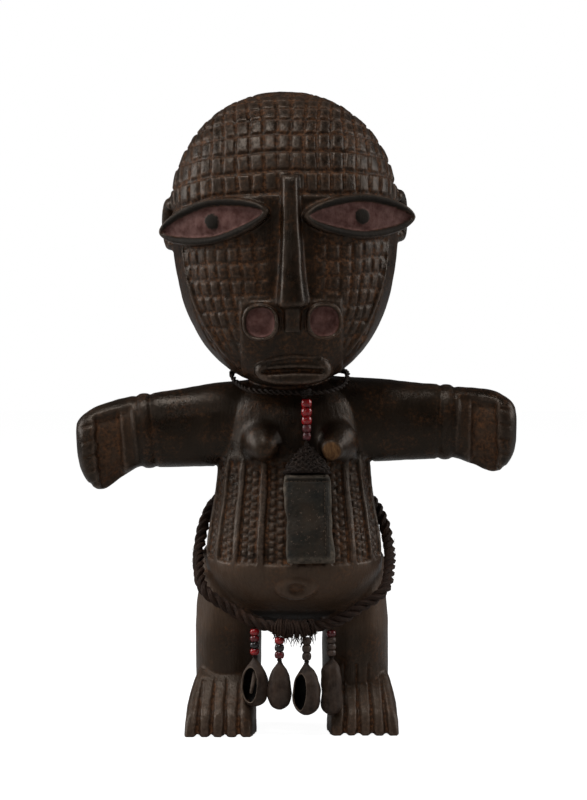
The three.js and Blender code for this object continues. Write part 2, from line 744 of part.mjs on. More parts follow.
// The rope hangs from the small of the back, round the hips and under the belly, and is bound in front.
// Degrees from the front, level as a share of the torso's height, and how far it stands off the torso.
const ROPE_ROUTE = [
  [4, -0.009, 0],
  [26, 0.016, 0],
  [43, 0.072, 3.5],
  [58, 0.14, 6],
  [76, 0.228, 1.2],
  [92, 0.31, 0],
  [108, 0.41, 0.5],
  [127, 0.49, 1.5],
  [152, 0.53, 1.5],
];
const ROPE_SKIN_LEVEL = 0.095; // below this share, the rope keeps its distance from the middle

function ropeRoute() {
  const stand = ROPE_DIAMETER / 2 + RIB_RISE + CLEARANCE;
  const at = (degrees, share, out) => {
    const level = LEG_HEIGHT + Math.max(share, ROPE_SKIN_LEVEL) * TORSO_HEIGHT;
    const point = torsoPoint(radians(degrees), level, stand + out);
    point.z = LEG_HEIGHT + share * TORSO_HEIGHT;
    return point;
  };
  const half = (side) => ROPE_ROUTE.map(([degrees, share, out]) => at(side * degrees, share, out));
  return [...half(1), at(180, 0.545, 1.5), ...half(-1).reverse()];
}

const KNOT_LENGTH = 9;

function beltRope() {
  const route = ropeRoute();
  const rope = tube(route, ROPE_DIAMETER, 8, 24);
  const [start, end] = [route[0], route[route.length - 1]];
  const middle = start.clone().add(end).divideScalar(2);
  const binding = bar(
    [-0.5, -0.2, 0.2, 0.5].map((share) =>
      middle.clone().add(vector(KNOT_LENGTH * share, 0.6 * Math.abs(share), 0)),
    ),
    BINDING_DIAMETER / 2,
    8,
    3,
    0.72,
  );
  return geometryOf(rope.add(binding));
}

// Under the chin the neck cord hangs in front of the shoulders, and behind it lies on top of them
const NECK_CORD_X = 4.6;

function neckCordRoute() {
  const half = NECK_WIDTH / 2 + NECK_CORD_DIAMETER / 2 + CLEARANCE;
  const top = SHOULDER_Z + 3.5;
  const middle = HEAD_X * 0.8;
  const front = SHOULDER_Z - 5.5;
  const side = (s) => [
    vector(NECK_CORD_X + s * 1.2, -24, front),
    vector(middle + s * (half * 0.9) + 1, -22, front + 1),
    vector(middle + s * (half + 4.6) + 1, -14.5, front + 3.4),
    vector(middle + s * (half + 7), -6, top - 1),
    vector(middle + s * (half + 3), 6, top),
    vector(middle + s * half * 0.62, 5 + half * 0.84, top),
  ];
  return [...side(-1), vector(middle, 5 + half + 0.3, top), ...side(1).reverse()];
}

function neckCord() {
  const route = neckCordRoute();
  const knot = new THREE.SphereGeometry(NECK_CORD_DIAMETER * 0.85, 6, 4);
  knot.translate(NECK_CORD_X, route[0].y, route[0].z);
  return geometryOf(tube(route, NECK_CORD_DIAMETER, 8, 24).add(solidOf(knot)));
}

// A string hanging straight between two points
function hangingString(top, bottom) {
  return geometryOf(tube([top, bottom], STRING_DIAMETER, 8, 1));
}

// A round glass bead on a string, with its hole upright
function bead(diameter, height, sides) {
  const hole = STRING_DIAMETER / 2 + CLEARANCE;
  const profile = [
    [hole, -height / 2],
    [diameter / 2, -height * 0.22],
    [diameter / 2, height * 0.22],
    [hole, height / 2],
    [hole, -height / 2],
  ];
  const shape = new THREE.LatheGeometry(
    profile.map(([radius, z]) => new THREE.Vector2(radius, z)),
    sides,
  );
  shape.rotateX(Math.PI / 2);
  return shape;
}

// Beads threaded from a point down a direction, a gap apart. Each is [diameter, height].
function thread(name, sizes, start, direction, materials, sides) {
  const lean = new THREE.Quaternion().setFromUnitVectors(vector(0, 0, -1), direction);
  let along = 0;
  sizes.forEach(([diameter, height], i) => {
    const shape = bead(diameter, height, sides);
    shape.applyQuaternion(lean);
    const at = start.clone().addScaledVector(direction, along + height / 2);
    shape.translate(at.x, at.y, at.z);
    piece(`${name}_${i + 1}`, geometryOf(solidOf(shape)), materials[i]);
    along += height + CLEARANCE;
  });
  return start.clone().addScaledVector(direction, along);
}

// A dried seed shell, open down one side
function shell(width, height, yaw) {
  const body = (inset) => {
    const [w, h] = [width / 2 - inset, height - 2 * inset];
    const profile = [
      [0, -h],
      [w * 0.62, -h * 0.91],
      [w * 0.99, -h * 0.69],
      [w * 0.94, -h * 0.44],
      [w * 0.5, -h * 0.11],
      [0, 0],
    ];
    const shape = new THREE.LatheGeometry(
      profile.map(([radius, z]) => new THREE.Vector2(radius, z)),
      8,
    );
    shape.rotateX(Math.PI / 2);
    shape.scale(1, 0.84, 1);
    shape.translate(0, 0, -inset);
    return solidOf(shape);
  };
  const mouth = new THREE.CylinderGeometry(1, 1, width, 8);
  mouth.scale(width * 0.24, 1, height * 0.33);
  mouth.translate(0, -width / 2, -height * 0.55);
  const open = body(0).subtract(body(SHELL_WALL)).subtract(solidOf(mouth));
  return geometryOf(placed(open, new THREE.Matrix4().makeRotationZ(radians(yaw))));
}

const paint = (color, roughness) => new THREE.MeshStandardMaterial({ color, roughness, metalness: 0 });
const wood = () => paint(0x2e231b, 0.45);
const fibre = () => paint(0x2a211a, 0.9);
const redGlass = () => paint(0x9c1410, 0.25);
const darkRedGlass = () => paint(0x4d1713, 0.3);
const darkGlass = () => paint(0x1f1714, 0.3);
const brownSeed = () => paint(0x3b2a20, 0.6);
const pinkGlass = () => paint(0x6b3a34, 0.35);

const doll = new THREE.Group();

function piece(name, geometry, material) {
  const mesh = new THREE.Mesh(geometry, material);
  mesh.name = name;
  doll.add(mesh);
}

piece("figure", figure(), wood());
piece("belt_rope", beltRope(), fibre());
piece("neck_cord", neckCord(), fibre());

// The amulet hangs on the front of the body, leaning with the belly
const AMULET_TOP_Z = SHOULDER_Z - AMULET_DROP;
const AMULET_LOW_Z = AMULET_TOP_Z - AMULET_CAP_HEIGHT - AMULET_HEIGHT;
const amuletTop = vector(NECK_CORD_X * 1.04, bellyFront(AMULET_TOP_Z) - AMULET_CAP_STAND, AMULET_TOP_Z);
const amuletLow = vector(
  NECK_CORD_X * 1.13,
  bellyFront(AMULET_LOW_Z + AMULET_HEIGHT / 10) - AMULET_THICKNESS / 2 - AMULET_PACKET_STAND,
  AMULET_LOW_Z,
);
const amuletLine = amuletLow.clone().sub(amuletTop).normalize();

// A ring across the amulet, at a distance down its line
function amuletRing(count, width, depth, down, squareness, slip = 0) {
  const lean = new THREE.Quaternion().setFromUnitVectors(vector(0, 0, -1), amuletLine);
  return roundedBox(count, width / 2, depth / 2, depth / 2, squareness).map(([x, y]) =>
    vector(x + slip, y, 0)
      .applyQuaternion(lean)
      .add(amuletTop)
      .addScaledVector(amuletLine, down),
  );
}

function amuletCap() {
  const depth = AMULET_THICKNESS + 2.2;
  const steps = [
    [0, 0.2, 0.36, 2],
    [0.18, 0.36, 0.62, 2],
    [0.45, 0.62, 0.86, 2.2],
    [0.75, 0.9, 1, 2.5],
    [0.92, 1.05, 1.02, 3],
    [1, 0.99, 0.9, 3],
  ];
  return geometryOf(
    loft(
      steps.map(([share, wide, deep, square]) =>
        amuletRing(12, AMULET_WIDTH * wide, depth * deep, AMULET_CAP_HEIGHT * share, square),
      ),
    ),
  );
}

function amuletPacket() {
  const start = AMULET_CAP_HEIGHT + CLEARANCE;
  const steps = [
    [0, 0.94, 0.8],
    [0.04, 0.98, 0.95],
    [0.35, 0.96, 1],
    [0.7, 1, 1],
    [0.96, 1.04, 0.92],
    [1, 1, 0.7],
  ];
  return geometryOf(
    loft(
      steps.map(([share, wide, deep]) =>
        amuletRing(12, AMULET_WIDTH * wide, AMULET_THICKNESS * deep, start + AMULET_HEIGHT * share, 5, share * 0.6),
      ),
    ),
  );
}

piece("amulet_cap", amuletCap(), paint(0x1d1612, 0.7));
piece("amulet_packet", amuletPacket(), paint(0x2b2320, 0.6));

// The amulet's string, from the knot in the neck cord to the cap
const stringTop = neckCordRoute()[0].setX(NECK_CORD_X);
stringTop.z -= NECK_CORD_DIAMETER * 0.85 + CLEARANCE;
const stringLow = amuletTop.clone().add(vector(0, 0, CLEARANCE));
const stringLine = stringLow.clone().sub(stringTop).normalize();
piece("amulet_string", hangingString(stringTop, stringLow), fibre());
const NECK_BEADS = [
  [BEAD_DIAMETER, BEAD_HEIGHT],
  [BEAD_DIAMETER * 1.02, BEAD_HEIGHT],
  [BEAD_DIAMETER * 0.98, BEAD_HEIGHT * 0.95],
  [BEAD_DIAMETER * 0.85, BEAD_HEIGHT * 0.9],
  [BEAD_DIAMETER * 0.8, BEAD_HEIGHT * 0.85],
];
const neckBeadMaterials = [redGlass(), redGlass(), redGlass(), pinkGlass(), pinkGlass()];
const neckBeadStart = stringTop.clone().addScaledVector(stringLine, CLEARANCE);
thread("neck_bead", NECK_BEADS, neckBeadStart, stringLine, neckBeadMaterials, 8);

// Four strings hang from the rope, each with its beads and a seed shell: the place across, the beads and
// how thick they are, and the size and turn of the shell.
const HANGERS = [
  {
    x: -18,
    beads: [redGlass, darkRedGlass, darkGlass, redGlass],
    thick: 0.72,
    wide: 1.1,
    tall: 1,
    yaw: -34,
  },
  { x: -7.2, beads: [redGlass, darkGlass, darkRedGlass], thick: 0.8, wide: 0.92, tall: 0.99, yaw: 172 },
  { x: 4.7, beads: [brownSeed, brownSeed, brownSeed], thick: 0.87, wide: 1.17, tall: 1.07, yaw: -52 },
  {
    x: 15.4,
    beads: [darkRedGlass, brownSeed, brownSeed, brownSeed],
    thick: 0.72,
    wide: 0.9,
    tall: 1.16,
    yaw: 118,
  },
];

function ropeAt(x) {
  const route = ropeRoute();
  const front = route.filter((p) => p.y < -10);
  const near = [...front].sort((a, b) => Math.abs(a.x - x) - Math.abs(b.x - x)).slice(0, 2);
  const t = (x - near[0].x) / (near[1].x - near[0].x);
  return near[0].clone().lerp(near[1], t);
}

HANGERS.forEach(({ x, beads, thick, wide, tall, yaw }, i) => {
  const name = `hanger_${i + 1}`;
  const down = vector(0, 0, -1);
  const top = ropeAt(x);
  const stand = Math.max(ROPE_DIAMETER, Math.abs(x) < KNOT_LENGTH ? BINDING_DIAMETER : 0) / 2;
  top.z -= stand + CLEARANCE;
  const sizes = beads.map(() => [BEAD_DIAMETER * 0.9, BEAD_HEIGHT * thick]);
  const low = thread(`${name}_bead`, sizes, top, down, beads.map((make) => make()), 8);
  low.z -= CLEARANCE * 1.4;
  piece(`${name}_string`, hangingString(top, low), fibre());
  const pod = shell(SHELL_WIDTH * wide, SHELL_HEIGHT * tall, yaw);
  pod.translate(low.x, low.y, low.z - CLEARANCE);
  piece(`${name}_shell`, pod, paint(0x33261e, 0.6));
});

// The origin goes on the floor below the middle of the box round all pieces that aren't cords
const CORDS = ["belt_rope", "neck_cord"];
const box = new THREE.Box3();
for (const mesh of doll.children) if (!CORDS.includes(mesh.name)) box.expandByObject(mesh);
const middle = box.getCenter(vector(0, 0, 0));
for (const mesh of doll.children) mesh.geometry.translate(-middle.x, -middle.y, -box.min.z);

export default doll;
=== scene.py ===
import math

import bmesh
import bpy
import numpy as np
from mathutils import Matrix, Vector
from mathutils.kdtree import KDTree


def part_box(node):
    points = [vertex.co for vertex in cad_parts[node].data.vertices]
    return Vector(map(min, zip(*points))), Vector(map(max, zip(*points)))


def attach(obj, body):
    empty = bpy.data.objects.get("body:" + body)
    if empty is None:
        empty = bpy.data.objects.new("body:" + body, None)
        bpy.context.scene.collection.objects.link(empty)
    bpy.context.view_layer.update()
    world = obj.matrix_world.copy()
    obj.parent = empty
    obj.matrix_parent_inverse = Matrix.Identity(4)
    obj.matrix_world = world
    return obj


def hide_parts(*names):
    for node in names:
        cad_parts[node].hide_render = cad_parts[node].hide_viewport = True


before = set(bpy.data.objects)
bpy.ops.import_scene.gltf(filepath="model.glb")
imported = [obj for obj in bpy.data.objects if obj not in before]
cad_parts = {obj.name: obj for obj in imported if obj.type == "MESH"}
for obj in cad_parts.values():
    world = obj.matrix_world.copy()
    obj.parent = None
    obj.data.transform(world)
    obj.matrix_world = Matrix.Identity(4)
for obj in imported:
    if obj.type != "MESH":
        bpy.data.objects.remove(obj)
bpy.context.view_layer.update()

# Camera
# The photo is taken from straight in front of the doll, through a long lens a little above its chest. The
# doll stands a little to the left of the middle of the frame.


def linked(name, data):
    """A new object of this data, in the scene."""
    made = bpy.data.objects.new(name, data)
    bpy.context.scene.collection.objects.link(made)
    return made


camera_data = bpy.data.cameras.new("camera")
camera = linked("camera", camera_data)
bpy.context.scene.camera = camera
camera_data.sensor_fit = "HORIZONTAL"
camera_data.sensor_width = 36
distance = 1.5
aim = Vector((0.0, -0.004, 0.1458))
elevation = math.radians(2.5)
direction = Vector((0.0, -math.cos(elevation), math.sin(elevation)))
camera.location = aim + direction * distance
camera.rotation_euler = (-direction).to_track_quat("-Z", "Y").to_euler()
frame_pixels, metres_per_pixel = 587, 0.000442
camera_data.lens = 36 * distance / (frame_pixels * metres_per_pixel)
camera_data.shift_x = -2.5 / frame_pixels

# Wooden figure
# The doll is one block of dark hardwood, carved with a knife and handled until it shone. The shape is laid
# out in millimetres, each limb as a skin over rings of points, then fused and carved.
LEG, TORSO, HEAD = 48.0, 107.0, 129.0
SHOULDER = LEG + TORSO
CHIN = SHOULDER - 3
ORIGIN = np.array([-0.036, 3.833, 0.0])  # from the figure's own middle line to the frame's origin
HEAD_PLACE, HEAD_TILT = (-3.6, 0, CHIN), -1
WIDEST_OF_HEAD = 0.56  # share of the head's height, at the eyes
HEAD_SQUARENESS = 2.4
SWELL = 1.3  # how far the carved ground stands out before it is cut
TORSO_WIDE, TORSO_DEEP = 37.8, 29  # half of each
CHEST_PLACE = -0.8
BREAST_Z = SHOULDER - TORSO * 0.265
HAND = 28
ARM_END = 97.9 - HAND - 6.6
FOOT, FOOT_HIGH, FOOT_WIDE = 54, 27, 15  # its length, height and half width


def power(value, exponent):
    """A power that keeps the sign."""
    return np.sign(value) * np.abs(value) ** exponent


def hermite(table, at):
    """Values read from a smooth curve through the rows of a table, by its first column."""
    table = np.array(table, float)
    at = np.clip(np.asarray(at, float), table[0, 0], table[-1, 0])
    place = table[:, 0]
    slope = np.empty((len(table), table.shape[1] - 1))
    for n in range(len(table)):
        a, b = table[max(0, n - 1)], table[min(len(table) - 1, n + 1)]
        slope[n] = (b[1:] - a[1:]) / (b[0] - a[0])
    i = np.clip(np.searchsorted(place, at, side="right") - 1, 0, len(table) - 2)
    span = place[i + 1] - place[i]
    t = ((at - place[i]) / span)[..., None]
    low, high = table[i, 1:], table[i + 1, 1:]
    m0, m1 = slope[i] * span[..., None], slope[i + 1] * span[..., None]
    rise = high - low
    return low + t * m0 + t * t * (3 * rise - 2 * m0 - m1) + t**3 * (m0 + m1 - 2 * rise)


def rounded_box(count, half_width, front, back, squareness):
    """Points round an oval whose corners fill out as its squareness grows."""
    angle = np.linspace(0, 2 * np.pi, count, endpoint=False)
    across = half_width * power(np.cos(angle), 2 / squareness)
    along = power(np.sin(angle), 2 / squareness)
    return across, np.where(along < 0, front, back) * along


def skin(rings):
    """Vertices and faces over rings of points, closed at both ends."""
    rings = np.asarray(rings, float)
    count, sides = rings.shape[:2]
    verts = np.concatenate([rings.reshape(-1, 3), rings[0].mean(0)[None], rings[-1].mean(0)[None]])
    faces = []
    for r in range(count - 1):
        for i in range(sides):
            a, b = r * sides + i, r * sides + (i + 1) % sides
            faces.append((a, b, b + sides, a + sides))
    for i in range(sides):
        j = (i + 1) % sides
        faces.append((count * sides, j, i))
        faces.append((count * sides + 1, (count - 1) * sides + i, (count - 1) * sides + j))
    return verts, faces


def head_section(z):
    """Half width, depth in front and behind, and middle of the head at a height over the chin."""
    share = np.clip(np.asarray(z, float) / HEAD, 0.001, 0.999)
    jaw = share < WIDEST_OF_HEAD
    s = np.where(jaw, (WIDEST_OF_HEAD - share) / WIDEST_OF_HEAD, (share - WIDEST_OF_HEAD) / 0.44)
    narrowed = lambda q: (1 - s**q) ** (1 / q)
    half = 50 * np.where(jaw, narrowed(2.22), narrowed(2.15))
    front = 43 * np.where(jaw, narrowed(3.2), narrowed(2.15))
    back = 43 * np.where(jaw, narrowed(1.4), narrowed(2.15))
    return half, front, back, 16 * (share - 0.5)


def on_head(angle, z, out=0.0):
    """Points on the head, by the angle from the nose and the height over the chin."""
    angle, z = np.broadcast_arrays(np.asarray(angle, float), np.asarray(z, float))
    half, front, back, middle = head_section(z)
    ahead = power(np.cos(angle), 2 / HEAD_SQUARENESS)
    x = half * power(np.sin(angle), 2 / HEAD_SQUARENESS)
    y = middle - np.where(ahead > 0, front, back) * ahead
    away = np.stack([x, y - middle, (z / HEAD - WIDEST_OF_HEAD) * 2 * HEAD / 3], -1)
    away /= np.linalg.norm(away, axis=-1, keepdims=True)
    return np.stack([x, y, z], -1) + away * np.asarray(out)[..., None]


def face_y(x, z):
    """How far forward the face lies at a place on it."""
    half, front, _, middle = head_section(z)
    return middle - front * (1 - min(1, abs(x) / half) ** HEAD_SQUARENESS) ** (1 / HEAD_SQUARENESS)


def turned(verts, rotation, offset):
    """Points turned about the origin and then moved."""
    return verts @ np.array(rotation).T + np.asarray(offset, float)


def rot(axis, degrees):
    """A turn about one axis."""
    return np.array(Matrix.Rotation(math.radians(degrees), 3, axis))


def plate(outline, steps, bend):
    """A raised plate on the front: its outline, shrunk and set out by steps, on a bent ground."""
    x, z = outline
    rings = [np.stack([x * s, bend * (x * s) ** 2 - out, z * s], -1) for s, out in steps]
    return skin(rings)


def bar(points, radius, sides, steps, end):
    """A round bar along points that tapers at both ends."""
    points = np.array(points, float)
    t = np.linspace(0, 1, len(points))
    spots = hermite(np.column_stack([t, points]), np.linspace(0, 1, steps))
    tangent = np.gradient(spots, axis=0)
    tangent /= np.linalg.norm(tangent, axis=1, keepdims=True)
    side = np.cross(tangent, [0.0, 1.0, 0.0])
    side /= np.linalg.norm(side, axis=1, keepdims=True)
    up = np.cross(side, tangent)
    angle = np.linspace(0, 2 * np.pi, sides, endpoint=False)
    thin = radius * (end + (1 - end) * np.sin(np.linspace(0, np.pi, steps)) ** 0.5)
    ring = side[:, None] * np.cos(angle)[None, :, None] + up[:, None] * np.sin(angle)[None, :, None]
    return skin(spots[:, None] + ring * thin[:, None, None])


# Half the width and height of an eye, how pointed its corners are, and how far it stands out, from the
# outer edge over the rim to the sunk lens
EYE_SHAPE = [(19, 6.7, 1.75, -12), (26.9, 9.4, 1.75, -1.5), (27.5, 9.8, 1.75, 0.6), (27.5, 9.8, 1.75, 1.9)]
EYE_SHAPE += [(27.1, 9.3, 1.72, 2.8), (26.7, 8.6, 1.7, 3.2), (26.1, 7.7, 1.62, 3.15), (25.6, 7.05, 1.55, 2.6)]
EYE_SHAPE += [(25.2, 6.6, 1.5, 1.6), (24.9, 6.25, 1.45, 0.9), (24.0, 6.0, 1.45, 0.8), (15, 3.8, 1.45, 1.2)]
EYE_SHAPE += [(6, 1.5, 1.45, 1.4)]
EYE_X, EYE_Z = {-1: -31.6, 1: 33.4}, HEAD * 0.585 - 2.1
EYE_LEAN = {-1: -9, 1: 1}
PUPIL, PUPIL_SHIFT = 3.2, {-1: 1, 1: -0.5}
DISC = 8
FACE_MIDDLE = 2.6


def eye_place(side):
    """Where an eye's middle lies on the head, and how it is turned."""
    x = EYE_X[side]
    z = EYE_Z + 0.02 * x
    return np.array([x, face_y(x, z), z]), rot("Z", side * 28) @ rot("Y", EYE_LEAN[side])


def disc_place(side):
    """The same for the disc beside the nose."""
    x, z = FACE_MIDDLE + side * 13.4, 0.225 * HEAD
    return np.array([x, face_y(x, z), z]), rot("Z", side * 13)


def head_parts():
    """The skull, and the eyes, discs, ears, jaw lines, lips and nose that stand out from it."""
    parts = []
    degrees = np.linspace(-87, 88, 90)
    s = power(np.sin(np.radians(degrees)), 2 / 2.15)
    levels = HEAD * (WIDEST_OF_HEAD + np.where(s < 0, WIDEST_OF_HEAD, 0.44) * s)
    angles = np.linspace(0, 2 * np.pi, 120, endpoint=False)
    swell = SWELL * np.clip((degrees - 3) / 8, 0, 1)
    parts.append(skin([on_head(angles, z, np.full(120, w)) for z, w in zip(levels, swell)]))
    for side in (-1, 1):
        rings = []
        for across, tall, q, out in EYE_SHAPE:
            x, z = rounded_box(90, across, tall, tall, q)
            rings.append(np.stack([x, 0.004 * x**2 - out, z], -1))
        verts, faces = skin(rings)
        place, turn = eye_place(side)
        parts.append((turned(verts, turn, place), faces))
        pupil = [(1, -1), (1, 1.7), (0.9, 2.05), (0.4, 2.2)]
        verts, faces = plate(rounded_box(40, PUPIL, PUPIL, PUPIL, 2), pupil, 0)
        verts += (PUPIL_SHIFT[side], 0, 0)
        parts.append((turned(verts, turn, place), faces))
        disc = [(0.7, -12), (0.98, -1), (1, 1.5), (0.98, 2.5), (0.93, 3.1), (0.87, 3.0), (0.81, 2.2)]
        disc += [(0.775, 0.9), (0.74, 0.35), (0.3, 0.4)]
        verts, faces = plate(rounded_box(60, DISC, DISC, DISC, 2.4), disc, 0)
        place, turn = disc_place(side)
        parts.append((turned(verts, turn, place), faces))
        points = []
        for k in range(7):
            angle = math.radians(-125 + 250 * k / 6)
            back = math.cos(angle) * 8.2
            x = side * (50 + 5.4 * (0.15 + 0.25 * back / 8.2))
            points.append((x, 2 + back, 0.57 * HEAD + 0.02 * x + math.sin(angle) * 9.4))
        parts.append(bar(points, 2.7, 20, 40, 0.6))
        points = []
        for k in range(7):
            share = 0.52 - 0.45 * k / 6
            points.append(on_head(math.radians(side * (62 - 16 * (k / 6) ** 2)), share * HEAD, -0.3))
        parts.append(bar(points, 1.4, 14, 60, 0.7))
    lips = [(0.75, -12), (0.97, -0.8), (1, 2.0), (0.96, 3.2), (0.86, 3.8), (0.7, 4.0), (0.4, 3.8)]
    verts, faces = plate(rounded_box(70, 16, 6.25, 6.25, 2.3), lips, 0.008)
    z = 0.065 * HEAD
    parts.append((turned(verts, rot("X", -8), (FACE_MIDDLE, face_y(FACE_MIDDLE, z), z)), faces))
    rings = []
    stations = [(0.715, 7, 4.7), (0.708, 7, 5.9), (0.695, 7, 6.2)]
    for along in np.linspace(0, 1, 24)[1:]:
        share = 0.695 + (0.285 - 0.695) * along
        stations.append((share, 7 + 5 * along**2.2, 8.5 * (0.72 + 0.28 * along)))
    stations += [(0.278, 11, 7.6), (0.27, 8, 4.6), (0.26, 6.6, 3.8), (0.19, 6.3, 2.6)]
    for share, width, out in stations:
        z = share * HEAD
        half = width / 2
        shape = [(-1.2, -8), (-1.17, out * 0.1), (-1.1, out * 0.4), (-0.95, out * 0.75), (-0.8, out * 0.95)]
        shape += [(-0.62, out), (-0.2, out * 1.01), (0.2, out * 1.01), (0.62, out)]
        shape += [(0.8, out * 0.95), (0.95, out * 0.75), (1.1, out * 0.4), (1.17, out * 0.1), (1.2, -8)]
        rings.append([(FACE_MIDDLE + a * half, face_y(FACE_MIDDLE, z) - o, z) for a, o in shape])
    parts.append(skin(rings))
    return [(turned(v, rot("Y", HEAD_TILT), HEAD_PLACE), f) for v, f in parts]


# Share of the height, then of the half width and of the depth in front and behind
TORSO_SHAPE = [
    (0.0, 0.12, 0.1, 0.08),
    (0.03, 0.56, 0.64, 0.3),
    (0.08, 0.8, 0.92, 0.6),
    (0.15, 0.94, 1.13, 0.72),
    (0.23, 1.0, 1.27, 0.76),
    (0.33, 0.99, 1.24, 0.74),
    (0.44, 0.945, 1.08, 0.7),
    (0.55, 0.895, 0.94, 0.7),
    (0.64, 0.87, 0.87, 0.76),
    (0.78, 0.86, 0.82, 0.84),
    (0.9, 0.8, 0.72, 0.8),
    (0.97, 0.62, 0.5, 0.62),
    (1.0, 0.4, 0.28, 0.4),
]


def torso_point(angle, z, out=0.0):
    """Points on the torso, by the angle from its front and the height."""
    angle, z = np.broadcast_arrays(np.asarray(angle, float), np.asarray(z, float))
    shape = hermite(TORSO_SHAPE, (z - LEG) / TORSO)
    ahead = power(np.cos(angle), 2 / 2.25)
    x = shape[..., 0] * TORSO_WIDE * power(np.sin(angle), 2 / 2.25)
    y = -ahead * np.where(ahead > 0, shape[..., 1], shape[..., 2]) * TORSO_DEEP
    flat = np.stack([x, y, np.zeros_like(x)], -1)
    away = flat / np.maximum(np.linalg.norm(flat, axis=-1, keepdims=True), 1e-6)
    return np.stack([x + CHEST_PLACE, y, z], -1) + away * np.asarray(out)[..., None]


def body_parts():
    """The torso, hips, neck, breasts and navel."""
    parts = []
    angles = np.linspace(0, 2 * np.pi, 160, endpoint=False)
    shares = np.linspace(0, 1, 100)
    lift = SWELL * np.clip((shares - 0.02) / 0.08, 0, 1) * np.clip((0.7 - shares) / 0.06, 0, 1)
    parts.append(skin([torso_point(angles, LEG + s * TORSO, np.full(160, w)) for s, w in zip(shares, lift)]))
    u, v = np.meshgrid(np.linspace(0, 2 * np.pi, 64, endpoint=False), np.linspace(-1.53, 1.53, 32))
    hips = [42 * np.cos(u) * np.cos(v) - 1.8, 23.5 * np.sin(u) * np.cos(v) + 6, 25 * np.sin(v) + 70]
    parts.append(skin(np.stack(hips, -1)))
    rings = []
    for z, wide in ((SHOULDER - 14, 1.25), (SHOULDER - 2, 1), (CHIN + 12, 0.95), (CHIN + 30, 1.1)):
        x, y = rounded_box(48, 17 * wide, 17, 17, 2)
        rings.append(np.stack([x - 2.5, y + 5, np.full(48, z)], -1))
    parts.append(skin(rings))
    for side in (-1, 1):
        broken = side > 0
        profile = [(10.6, -6), (9.4, 0), (8.4, 2.0), (7.1, 4.0), (6.0, 6.2), (5.5, 7.4)]
        tip = [(4.5, 8.2), (4.0, 8.9), (2.8, 9.6), (1.4, 9.9)]
        profile += [(5.3, 9.3), (5.2, 10.3), (4.9, 10.6)] if broken else tip
        angle = np.linspace(0, 2 * np.pi, 48, endpoint=False)
        x, z = np.cos(angle), np.sin(angle)
        rings = [np.stack([r * x, np.full(48, -out), r * z], -1) for r, out in profile]
        verts, faces = skin(rings)
        turn = rot("Z", -8 if broken else 2) @ rot("X", 13)
        parts.append((turned(verts, turn, (side * 15.5 + 1.6, -21.5, BREAST_Z)), faces))
    navel = [(0.8, -8), (1, -0.4), (0.98, 0.8), (0.9, 1.9), (0.76, 2.9), (0.6, 3.3)]
    navel += [(0.44, 2.9), (0.28, 1.4), (0.12, 0.7)]
    verts, faces = plate(rounded_box(48, 9.6, 6.3, 6.3, 2), navel, 0)
    z = LEG + TORSO * 0.165
    front = torso_point(0, z)
    parts.append((turned(verts, rot("X", 22), (front[0] + 1, front[1] + 0.4, z)), faces))
    return parts


def arm_parts(side, droop, drop, reach):
    """An arm that droops by some degrees, with two rings at the wrist and a hand that curls forward."""
    high, deep = 19.0, 15.0
    table = [(0.05, 0.98, 1.0), (0.3, 1.0, 1.0), (0.6, 0.96, 0.94), (0.85, 0.9, 0.86), (0.985, 0.875, 0.82)]

    def section(x, h, d, down=0.0, y=0.0):
        """A ring of points across the arm, with its half height and depth."""
        across, up = rounded_box(64, d, h, h, 2.4)
        return np.stack([np.full(64, side * x), y - across, up - down], -1)

    rings = []
    for share in np.linspace(0.05, 0.985, 30):
        h, d = hermite(table, share)
        rings.append(section(share * ARM_END, high * h, deep * d))
    wrist = [(0.4, 0.82, 0.76), (0.8, 0.85, 0.79), (1.5, 0.875, 0.82), (3.3, 0.885, 0.83), (5.0, 0.875, 0.82)]
    wrist += [(5.8, 0.85, 0.79), (6.3, 0.81, 0.76), (7.2, 0.83, 0.79), (8.4, 0.84, 0.8)]
    for x, h, d in wrist:
        rings.append(section(ARM_END + x, high * h, deep * d))
    start = ARM_END + 6.6
    hand = [
        (0.08, 0.84 * high, 0.8 * deep, 0, 0),
        (0.35, (0.84 * high + reach) / 2, 0.72 * deep, 0.4 * drop, -0.5),
        (0.66, reach, 0.7 * deep, 0.95 * drop, -2),
        (0.86, reach * 0.82, 0.62 * deep, 0.9 * drop, -3.4),
        (0.97, reach * 0.55, 0.4 * deep, 0.65 * drop, -3.6),
        (1.0, reach * 0.3, 0.2 * deep, 0.5 * drop, -3.6),
    ]
    for share in np.linspace(0.1, 1, 36):
        h, d, down, y = hermite(hand, share)
        rings.append(section(start + share * HAND, h, d, down, y))
    verts, faces = skin(rings)
    place = (0, 0.5, SHOULDER - 19 + 1.5)
    return (turned(verts, rot("Y", side * droop), place), faces)


